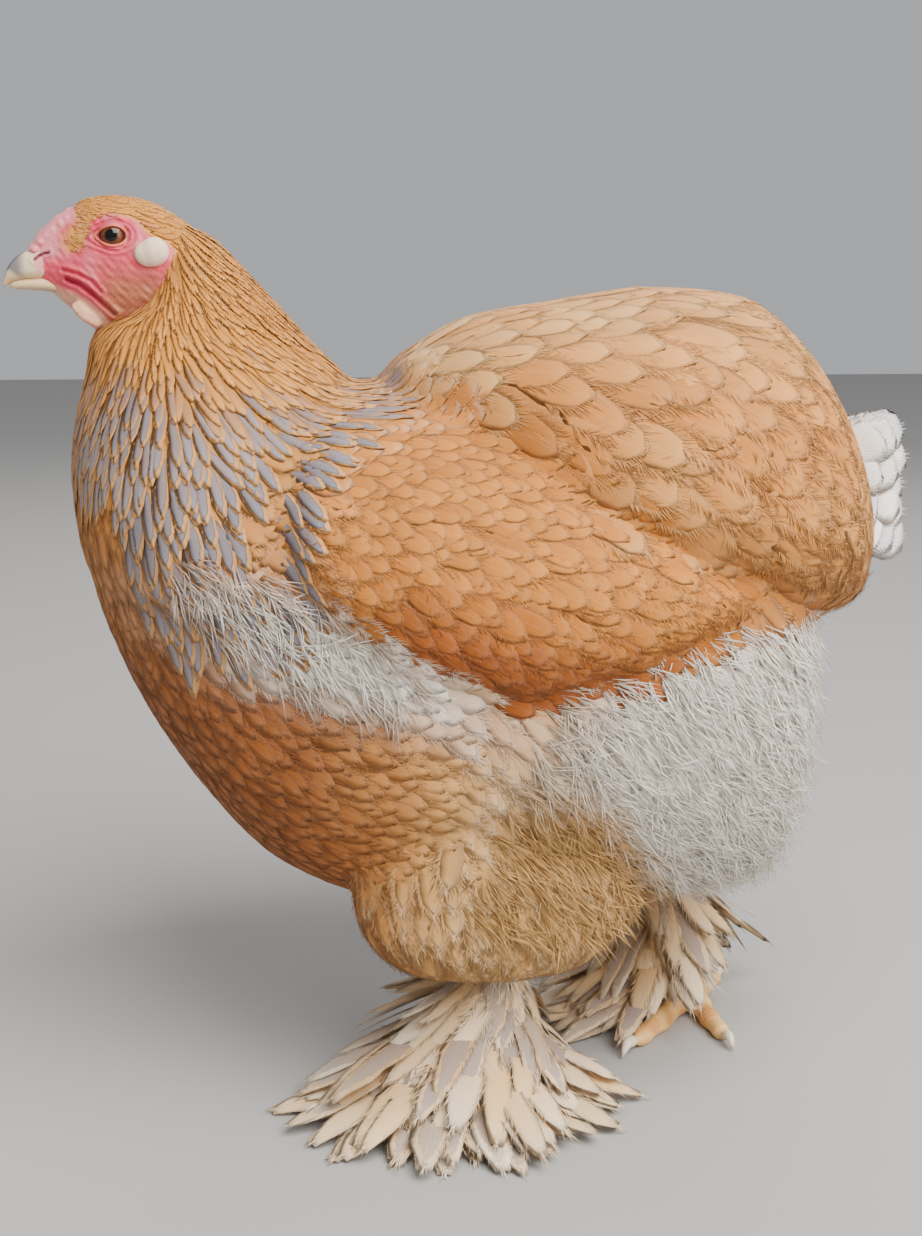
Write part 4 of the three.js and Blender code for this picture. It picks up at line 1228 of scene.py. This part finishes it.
def build_boot(side):
    name = SIDE_NAME[side]
    leg = LEGS[side]
    low, high = leg["fan"]
    foot = along_shank(side, leg["ankle"][2])
    local = np.random.default_rng(81 + side)
    coat = Coat()
    for rise, root, reach, bend, drop, half, count, wider in BOOT_TIERS:
        share = (np.arange(count) + 0.5 + local.uniform(-0.35, 0.35, count)) / count
        turn = np.radians(leg["heading"] + low - wider + (high - low + 2 * wider) * share)
        way = np.stack([-np.cos(turn), side * np.sin(turn), 0 * turn], 1)
        length = reach * local.uniform(0.82, 1.06, count)[:, None]
        base = along_shank(side, rise)
        roots = base + way * root
        roots[:, 2] += local.uniform(-4, 4, count)
        bends = base + way * length * 0.56
        bends[:, 2] = bend + local.uniform(-3, 5, count)
        tips = foot + way * length + local.normal(0, 5, (count, 3))
        tips[:, 2] = np.maximum(drop + local.uniform(-2, 6, count), 1.5)
        cream = 0.4 + 0.6 * local.random(count)
        tint = mixed(mixed(WHITE, CREAM, cream), PALE, 0.3 + 0.5 * local.random(count))
        grey = mixed(LAVENDER, CREAM, 0.4 * local.random(count))
        grey = np.hstack([grey, (local.random(count) < 0.4)[:, None] * 0.6])
        plumes(
            coat, roots, bends, tips, unit(way + [0, 0, 1]), half * local.uniform(0.6, 0.95, count),
            "broad", tint, grey, seed=83 + side + rise, ragged=0.1, thick=0.3, camber=0.08,
            barbs=(60, 9.5, 0.42, 0.72, 0.85),
        )
    coat.build(f"coat_boot_{name}", SOFT_MATERIAL, "boot", f"boot_{name}")

    # down over the shank
    coat = Coat()
    height = local.uniform(24, 100, BOOT_TUFTS)
    turn = local.uniform(0, 2 * np.pi, BOOT_TUFTS)
    way = np.stack([-np.cos(turn), np.sin(turn), 0 * turn], 1)
    spots = np.array([along_shank(side, h) for h in height]) + way * 7
    roots = np.repeat(spots, TUFT_BLADES, 0)
    roots += local.normal(0, 1, roots.shape)
    ups = np.repeat(way, TUFT_BLADES, 0)
    count = len(roots)
    ways = unit(ups * local.uniform(0.3, 1.1, (count, 1)) + [0, 0, -1] + local.normal(0, 0.25, (count, 3)))
    tint = np.repeat(mixed(CREAM, WHITE, local.random(BOOT_TUFTS)), TUFT_BLADES, 0)
    blades(coat, roots, ways, ups, local.uniform(12, 24, count), np.full(count, 0.5), tint, seed=84 + side)
    coat.build(f"coat_boot_down_{name}", DOWN_MATERIAL, "boot")


def build_tail():
    coat = Coat()
    local = np.random.default_rng(91)
    for side in SIDES:
        for tier, (count, reach, inset) in enumerate(((5, 231, 0), (4, 225, 4), (4, 216, 8))):
            share = (np.arange(count) + 0.5) / count
            out = side * (3 + inset * 0.6 + 15 * share)
            rise = 24 - 40 * share
            roots = np.stack([186 + 0 * share, out * 0.7, 338 - 34 * share], 1)
            far = reach - 5 * np.abs(share - 0.45) + local.normal(0, 1.5, count)
            tips = np.stack([far, out + side * 1.5, roots[:, 2] + rise], 1)
            bends = np.stack([208 + 0 * share, out + side * 2, roots[:, 2] + rise * 0.7], 1)
            ups = np.tile(unit(np.array([0, side, 0.45])), (count, 1))
            tint = mixed(WHITE, rgb(206, 206, 220), local.random(count) * 0.7)
            plumes(
                coat, roots, bends, tips, ups, local.uniform(12, 15, count), "quill", tint,
                np.zeros((count, 4)), seed=93 + side + tier * 5, ragged=0.08, thick=0.4,
                barbs=(30, 5.0, 0.3, 0.7, 0.6),
            )
    coat.build("coat_tail", SOFT_MATERIAL, "tail", "tail")


# Head
PINK = rgb(212, 68, 88)
ROSE = rgb(222, 130, 138)
CRIMSON = rgb(176, 40, 70)
UMBER = rgb(164, 100, 66)
LID = rgb(222, 128, 100)
OLIVE = rgb(210, 152, 74)
THROAT = rgb(228, 186, 146)
# The edge of the bare face, as x and height.
FACE = [
    (-234, 447), (-231, 452), (-221.5, 463), (-211, 472), (-206, 464), (-214, 452.5), (-209.5, 446.5),
    (-203, 450), (-202.5, 459.7), (-196, 465), (-187.7, 466.5), (-177, 462.5), (-171.5, 456), (-158, 449),
    (-157.5, 434), (-165.5, 424.5), (-174.5, 417.5), (-184.4, 409), (-199, 408.5), (-213, 413), (-224, 425),
]
NOSTRIL = [(-228.4, 442.8), (-226.2, 444.8), (-223.6, 446.0), (-221.0, 446.4)]
GAPE = [(-212, 433.2), (-206, 430.8), (-198, 424.8), (-189, 416)]
FOLD = [(-214, 437.8), (-206, 435.6), (-199.5, 432.4), (-195, 427)]


def gap_to(path, x, z):
    """Distance from spots to a line of points, in the side view."""
    best = np.full(len(x), 1e9)
    for (ax, az), (bx, bz) in zip(path, path[1:]):
        dx, dz = bx - ax, bz - az
        s = np.clip(((x - ax) * dx + (z - az) * dz) / (dx * dx + dz * dz), 0, 1)
        best = np.minimum(best, np.hypot(x - ax - s * dx, z - az - s * dz))
    return best


def bare(p):
    """Above 0 inside the bare face, in millimetres from its edge."""
    x, z = p[:, 0], p[:, 2]
    inside = np.zeros(len(x), bool)
    for (ax, az), (bx, bz) in zip(FACE, FACE[1:] + FACE[:1]):
        crosses = (az > z) != (bz > z)
        inside ^= crosses & (x < ax + (z - az) * (bx - ax) / (bz - az + 1e-12))
    gap = gap_to(FACE + FACE[:1], x, z)
    return np.where(inside, gap, -gap)


def eye_place(p):
    """Spots in the eye opening's own width and height, where its edge is at 1."""
    a, b = p[:, 0] + 187.8, p[:, 2] - 454.7
    front = np.maximum(0, -a / 7.5)
    reach = np.hypot(a / (7.0 + 1.2 * front), b / (4.9 - 0.7 * front))
    return a, b, reach


def sculpt_head(p):
    """Moves spots of the head for the socket, the lids' folds, the mouth and the wrinkles."""
    x, y, z = p.T
    side = np.sign(y)
    a, b, reach = eye_place(p)
    flank = smoothstep(5, 9, np.abs(y))
    ball = 12.2 + np.sqrt(np.maximum(0, 8.1**2 - a**2 - b**2))
    sunk = np.clip(np.abs(y) - ball, -3, 1.8) * (1 - smoothstep(1.05, 1.6, reach))
    sunk += 6 * (1 - smoothstep(0.72, 0.95, reach))
    out = -sunk + 0.7 * bump(reach, 1.32, 0.13) - 0.55 * bump(reach, 1.56, 0.12)
    out += 0.6 * bump(reach, 1.85, 0.16) * smoothstep(3, -4, b)
    out += 1.1 * bump(a, -1, 10) * bump(b, 9.5, 3.2)
    gape, fold = gap_to(GAPE, x, z), gap_to(FOLD, x, z)
    out += -1.5 * bump(gape, 0, 0.9) + 1.0 * bump(gape, 2.4, 1.2)
    out += -0.9 * bump(fold, 0, 0.8) + 0.6 * bump(fold, 1.9, 1.0)
    skin = smoothstep(-1, 2, bare(p))
    out += skin * (0.2 * noise(p * [1, 1, 1.5], 5, 20) + 0.16 * noise(p, 2.2, 28))
    out += -0.9 * bump(gap_to(NOSTRIL, x, z), 0, 0.8) + 0.5 * bump(gap_to(NOSTRIL, x, z), 1.7, 0.7)
    p = p.copy()
    p[:, 1] += side * out * flank
    return p


def head_colour(p):
    x, y, z = p.T
    a, b, reach = eye_place(p)
    skin = bare(p)
    out = mixed(GOLD, OLIVE, 0.5 * bump(x, -207, 7) * bump(z, 457, 9))
    throat = smoothstep(-186, -200, x) * smoothstep(416, 408, z)
    out = mixed(out, THROAT, throat)
    face = mixed(PINK, ROSE, smoothstep(-213, -219, x) * smoothstep(440, 447, z))
    face = mixed(face, ROSE, 0.5 * smoothstep(-0.2, 1.2, noise(p, 9, 30)))
    # crimson in the eye socket, the fold and the gape: partly the redder skin there, partly painted shade in
    # these creases
    deep = bump(reach, 1.42, 0.34) * 0.55 + bump(gap_to(FOLD, x, z), 0, 1.4) * 0.6
    deep = np.clip(deep + bump(gap_to(GAPE, x, z), 0, 2.2) * 0.95, 0, 1)
    face = mixed(face, CRIMSON, deep)
    cheek = smoothstep(-202, -186, x) * smoothstep(446, 426, z) * smoothstep(-158, -170, x)
    face = mixed(face, UMBER, 0.9 * cheek)
    face = mixed(face, LID, 0.5 * bump(reach, 1.1, 0.1))
    face = mixed(face, THROAT, 0.8 * smoothstep(-212, -220, x) * smoothstep(432, 427, z))
    mouth = np.interp(x, *zip(*GAPE))
    face = mixed(face, THROAT, 0.7 * smoothstep(3.5, 8, mouth - z) * smoothstep(-186, -196, x))
    # painted shade in the nostril slit
    face = mixed(face, rgb(96, 34, 44), smoothstep(1.1, 0.4, gap_to(NOSTRIL, x, z)))
    edge = 1.2 + 2.2 * smoothstep(-198, -206, x) * smoothstep(444, 450, z)
    out = mixed(out, face, smoothstep(-edge, edge, skin + 0.8 * noise(p, 5, 12)))
    # painted shade: the skin inside the eye opening, round the eyeball, is made near black-brown
    return mixed(out, rgb(60, 26, 22), 0.9 * (1 - smoothstep(0.8, 0.98, reach)))


COMB_FRONT, COMB_BACK, COMB_TILT = np.array([-230.5, 448.0]), np.array([-210.0, 467.0]), -43


def comb_grids():
    made = [ball_grid([-219.5, 0, 456.5], [15.5, 6.8, 4.4], (0, COMB_TILT, 0))]
    local = np.random.default_rng(101)
    for row, count, radius in ((0, 8, 2.4), (1, 7, 2.2), (-1, 7, 2.2), (2, 6, 1.9), (-2, 6, 1.9)):
        for i in range(count):
            share = (i + 0.5 + local.uniform(-0.2, 0.2)) / count
            x, z = COMB_FRONT + (COMB_BACK - COMB_FRONT) * share
            z += 1.8 * math.sin(math.pi * share) - abs(row) * 1.5
            size = radius * local.uniform(0.85, 1.2)
            made.append(ball_grid([x, row * 2.7, z], [size * 1.2, size, size], (0, COMB_TILT, 0), 8, 10))
    return made


def wattle_grid(side):
    x, y, z = WATTLE["centre"]
    return ball_grid([x, side * y, z], WATTLE["size"], (side * 8, 40, side * -6))


def build_head():
    parts = [loft_grid(HEAD_CORE, 90, 90), *comb_grids(), *(wattle_grid(s) for s in SIDES)]
    made = fused("head_skin", parts, HEAD_VOXEL, 4)
    p = sculpt_head(read_mesh(made)[0])
    write_points(made, p)
    made.data.materials.append(SKIN_MATERIAL)
    colour = head_colour(p)
    x, y, z = p.T
    on_comb = smoothstep(4.5, 2.5, np.abs((x + 219.5) * 0.68 - (z - 457.5) * 0.73)) * (z > 444) * (x < -207)
    colour = mixed(colour, ROSE, 0.9 * on_comb)
    set_tint(made, colour)
    return made


def build_head_feathers(skin):
    coat = Coat()
    centre = skin.centre
    clear = bare(centre) < -0.6 + 1.2 * noise(centre, 2.5, 14)
    clear &= (centre[:, 0] > -213) & (body_skin.height(centre) > -1.5)
    spots = skin.scatter(clear, np.interp(centre[:, 0], [-210, -198, -180, -150], [0.9, 1.2, 2.1, 3.0]), 111)

    def way(p):
        down = smoothstep(446, 420, p[:, 2])
        fall = 0.25 + 0.9 * down + 0.4 * smoothstep(-180, -150, p[:, 0])
        return np.stack([1 - 0.5 * down, 0 * down, -fall], 1)

    def length(p):
        return np.interp(p[:, 0], [-212, -200, -185, -165, -145], [3, 4.5, 8, 12, 17])

    def half(p):
        return np.interp(p[:, 0], [-212, -200, -185, -150], [0.6, 0.8, 1.4, 2.1])

    lay(
        coat, skin, spots, way, length, half, "soft", (0.02, 0.25), head_colour, rows=6, seed=112,
        columns=3, thick=0.1, camber=0.04, barbs=(4, 1.6, 0.14, 0.8, 0.5),
    )
    coat.build("coat_head", HACKLE_MATERIAL, "hackle")


def build_lobes():
    w = Wires("lobe", 0.45, 0.05, 0.4)
    mottled = w.mix(w.texture(160.0, 4.0), rgb(222, 186, 146), rgb(240, 226, 206))
    look = w.finish(mottled, w.bump(w.texture(1400.0, 2.0), 0.4, 0.0004))
    x, y, z = LOBE
    for side in SIDES:
        name = SIDE_NAME[side]
        lumps = [
            ball_grid([x + 1.0, side * y, z + 0.3], [7.6, 5.0, 7.4]),
            ball_grid([x - 1.6, side * (y - 0.4), z - 0.6], [7.6, 4.4, 6.6]),
        ]
        lobe = fused(f"lobe_{name}", lumps, LOBE_VOXEL, 24)
        lobe.data.materials.append(look)
        settle(lobe, "ear_lobe", f"ear_lobe_{name}")


# Bill and claws
def horn_material():
    w = Wires("bill_horn", 0.32, 0.0, 0.5)
    streaks = w.node("ShaderNodeMapping")
    w.feed(streaks.inputs["Vector"], w.place())
    streaks.inputs["Scale"].default_value = (0.25, 1, 1)
    shade = w.math("MULTIPLY_ADD", w.texture(700.0, 3.0, streaks.outputs[0]), 0.3, 0.85)
    return w.finish(w.shaded(w.attribute("tint").outputs["Color"], shade))


HORN = horn_material()


def build_piece(name, points, faces, look, slot, *nodes):
    made = mesh_object(name, points, faces)
    outward(made)
    made.data.materials.append(look)
    settle(made, slot, *nodes)
    return made


def upper_colour(p):
    x, y, z = p.T
    out = mixed(rgb(228, 208, 172), rgb(214, 176, 130), smoothstep(438, 432, z))
    ridge = smoothstep(-229, -236, x) * smoothstep(3.0, 1.2, np.abs(y)) * smoothstep(432, 438, z)
    side_dark = smoothstep(-231, -238, x) * smoothstep(434.5, 438.5, z + 0.55 * (x + 240))
    out = mixed(out, rgb(74, 74, 92), np.clip(0.9 * ridge + 0.8 * side_dark, 0, 1))
    base = smoothstep(-230.5, -225.5, x) * smoothstep(434, 439, z)
    out = mixed(out, ROSE, 0.85 * base)
    # painted shade in the nostril slit
    return mixed(out, rgb(110, 44, 52), smoothstep(1.3, 0.3, gap_to(NOSTRIL, x, z)))


def lower_colour(p):
    out = mixed(rgb(226, 196, 150), rgb(190, 150, 116), smoothstep(429.5, 427, p[:, 2]))
    return mixed(out, rgb(178, 84, 76), 0.8 * smoothstep(-226, -214, p[:, 0]) * smoothstep(430, 432, p[:, 2]))


def build_bill():
    p, faces = loft_grid(lengthwise(UPPER_BILL, 0.9), 110, 96)
    gap = gap_to(NOSTRIL, p[:, 0], p[:, 2])
    cut = 1.1 * bump(gap, 0, 0.75) - 0.5 * bump(gap, 1.6, 0.7)
    p[:, 1] -= np.sign(p[:, 1]) * cut * smoothstep(2, 5, np.abs(p[:, 1]))
    set_tint(build_piece("upper_bill", p, faces, HORN, "bill", "bill_upper"), upper_colour(p))
    p, faces = loft_grid(lengthwise(LOWER_BILL, 0.9), 60, 60)
    set_tint(build_piece("lower_bill", p, faces, HORN, "bill", "bill_lower"), lower_colour(p))


# Eyes
EYE_MIDDLE = 12.2


def iris_colour(points, side):
    facing = unit(np.array([-0.1, side, 0.04]))
    off = np.degrees(np.arccos(np.clip(unit(points) @ facing, -1, 1)))
    out = mixed(rgb(84, 44, 22), rgb(124, 72, 38), smoothstep(24, 38, off))
    spoke = np.arctan2(points[:, 2], points[:, 0])
    out = mixed(out, rgb(62, 30, 16), 0.4 + 0.3 * np.sin(spoke * 23) * np.sin(spoke * 9 + 1))
    out = mixed(out, rgb(60, 32, 24), smoothstep(43, 50, off))
    return mixed(out, rgb(8, 6, 6), smoothstep(27, 24, off))


def lid_grid(side, steps=72, around=10):
    """A soft ring round the eye opening, thicker above."""
    turn = np.linspace(0, 2 * np.pi, steps, endpoint=False)
    front = np.maximum(0, -np.cos(turn)) ** 3
    a, b = (7.1 + 1.6 * front) * np.cos(turn), (5.0 - 0.6 * front) * np.sin(turn)
    depth = EYE_MIDDLE + np.sqrt(np.maximum(7.9**2 - a**2 - b**2, 3.0**2))
    ring = np.stack([EYE_LEFT[0] + a, side * depth, EYE_LEFT[2] + b], 1)
    way = unit(np.roll(ring, -1, 0) - np.roll(ring, 1, 0))
    outer = unit(np.cross(way, [0, side, 0]))
    spin = np.linspace(0, 2 * np.pi, around, endpoint=False)[None, :, None]
    size = (0.55 + 0.25 * np.maximum(0, -np.sin(turn)))[:, None, None]
    points = ring[:, None] + size * (outer[:, None] * np.cos(spin) + np.array([0, side, 0]) * np.sin(spin))
    i, j = np.divmod(np.arange(steps * around), around)
    ahead, beside = (i + 1) % steps, (j + 1) % around
    faces = np.stack([i * around + j, i * around + beside, ahead * around + beside, ahead * around + j], 1)
    return points.reshape(-1, 3), faces.tolist()


def build_eyes():
    w = Wires("eye", 0.1, 0.0, 0.25)
    w.shader["Coat Weight"].default_value = 0.25
    w.shader["Coat Roughness"].default_value = 0.02
    look = w.finish(w.attribute("tint").outputs["Color"])
    w = Wires("lid", 0.42, 0.0, 0.4)
    w.shader["Base Color"].default_value = (*rgb(204, 100, 78), 1)
    for side in SIDES:
        name = SIDE_NAME[side]
        centre = np.array([EYE_LEFT[0], side * EYE_MIDDLE, EYE_LEFT[2]])
        points, faces = ball_grid([0, 0, 0], [EYE_RADIUS] * 3, (90, 0, 0), 72, 72)
        eye = build_piece(f"eyeball_{name}", points + centre, faces, look, "eye", f"eye_{name}")
        set_tint(eye, iris_colour(points, side))
        build_piece(f"lid_{name}", *lid_grid(side), w.made, "skin")


# Feet
def toe_line(side, toe):
    turn, length, thick, _ = TOES[toe]
    angle = math.radians(LEGS[side]["heading"] + turn)
    way = np.array([-math.cos(angle), side * math.sin(angle), 0])
    start = np.array([*LEGS[side]["ankle"][:2], 14.0])
    level = thick - 1.2
    line = [start, start + way * 16, start + way * (10 + length * 0.5), start + way * (8 + length)]
    for spot, height in zip(line[1:], (level + 3, level, level)):
        spot[2] = height
    return line, way


def toe_grid(side, toe):
    line, _ = toe_line(side, toe)
    r = TOES[toe][2]
    radii = [0, r * 1.1, r, r * 1.12, r * 0.92, r * 1.04, r * 0.8, r * 0.86, 0]
    points, faces = loft_grid(tube_surface(line, radii), 120, 36)
    length = np.linalg.norm(points[:, :2] - line[0][:2], axis=1)
    top = smoothstep(-0.2, 0.6, (points[:, 2] - np.interp(length, [0, 16, 60], [14, r, r])) / r)
    scute = np.abs(np.sin(length * np.pi / 3.1)) ** 0.6
    points[:, 2] += top * (0.8 * scute - 0.4)
    points[:, 2] = np.maximum(points[:, 2], 0.4)
    return points, faces


def build_claw(side, toe):
    _, _, thick, length = TOES[toe]
    line, way = toe_line(side, toe)
    start = line[3] - way * 4
    rise, tip = start + way * length * 0.6, start + way * (length + 2)
    rise[2], tip[2] = line[3][2] + 2.4, 1.4
    r = thick * 0.5
    p, faces = loft_grid(tube_surface([start + [0, 0, 0.6], rise, tip], [0, r, r * 0.9, r * 0.6, 0]), 40, 24)
    name = f"{SIDE_NAME[side]}_{toe}"
    claw = build_piece(f"talon_{name}", p, faces, HORN, "claw", f"claw_{name}")
    near = smoothstep(5, 1, np.linalg.norm(p - tip, axis=1))
    set_tint(claw, mixed(rgb(226, 212, 190), rgb(168, 150, 132), near))


def build_foot(side):
    x, y, _ = LEGS[side]["ankle"]
    grids = [ball_grid([x, y, 13], [13, 12, 12.6]), *(toe_grid(side, toe) for toe in TOES)]
    foot = fused(f"foot_skin_{SIDE_NAME[side]}", grids, FOOT_VOXEL, 1)
    foot.data.materials.append(SKIN_MATERIAL)
    p, _ = read_mesh(foot)
    p[:, 2] = np.maximum(p[:, 2], 0.25)
    write_points(foot, p)
    set_tint(foot, mixed(rgb(236, 188, 116), rgb(214, 150, 84), smoothstep(0, 1, noise(p, 12, 4))))
    settle(foot, "toe", f"foot_{SIDE_NAME[side]}")
    for toe in TOES:
        build_claw(side, toe)


# Assembly
build_hackle()
build_breast()
for side in SIDES:
    for build in (build_wing, build_cushion, build_fluff, build_down, build_thigh, build_boot):
        build(side)
build_tail()
head = build_head()
build_head_feathers(Skin(head))
build_lobes()
build_bill()
build_eyes()
for side in SIDES:
    build_foot(side)

body.data.materials.append(SKIN_MATERIAL)
set_tint(body, coat_colour(body_skin.points) * 0.8)
skins = [body, head]
with bpy.context.temp_override(
    active_object=body, object=body, selected_objects=skins, selected_editable_objects=skins
):
    bpy.ops.object.join()
body.name = "skin"
settle(body, "skin", "head", "comb", "wattle_left", "wattle_right")


# Room and light
def place_in_room(name, data, place, target):
    """An object at a place in metres, looking at a target."""
    made = bpy.data.objects.new(name, data)
    bpy.context.scene.collection.objects.link(made)
    made.location = place
    made.rotation_mode = "QUATERNION"
    made.rotation_quaternion = (Vector(target) - Vector(place)).to_track_quat("-Z", "Y")
    return made


def area_light(name, place, target, size, power, colour=(1, 1, 1)):
    data = bpy.data.lights.new(name, "AREA")
    data.shape, data.size, data.energy, data.color = "SQUARE", size, power, colour
    place_in_room(name, data, place, target)


FLOOR_HALF = 6
floor_mesh = bpy.data.meshes.new("floor")
corners = [(x * FLOOR_HALF, y * FLOOR_HALF, 0) for x, y in ((-1, -1), (1, -1), (1, 1), (-1, 1))]
floor_mesh.from_pydata(corners, [], [(0, 1, 2, 3)])
floor = bpy.data.objects.new("floor", floor_mesh)
bpy.context.scene.collection.objects.link(floor)
floor_look = Wires("floor", 0.9, 0.0, 0.1)
floor_look.shader["Base Color"].default_value = (0.4, 0.39, 0.375, 1)
floor_mesh.materials.append(floor_look.made)
area_light("key", (0.7, -1.4, 2.2), (0, 0, 0.2), 2.2, 164, (1, 0.98, 0.95))
area_light("fill", (1.9, -1.9, 0.7), (0.05, 0, 0.2), 1.6, 30, (1, 0.98, 0.96))
area_light("back", (0.4, 1.9, 1.9), (0, 0, 0.3), 1.6, 26)
world = bpy.data.worlds.new("studio")
world.use_nodes = True
sky = world.node_tree.nodes["Background"].inputs
sky["Color"].default_value = (0.93, 0.95, 1, 1)
sky["Strength"].default_value = 0.49
bpy.context.scene.world = world

# Camera
TARGET = np.array([-10.36, 0, 251.8])
EYE_POINT = np.array([-107.66, -925.83, 441.19])
camera_data = bpy.data.cameras.new("camera")
camera_data.sensor_width = 36
camera_data.lens = 50.8
bpy.context.scene.camera = place_in_room("camera", camera_data, to_scene(EYE_POINT), to_scene(TARGET))
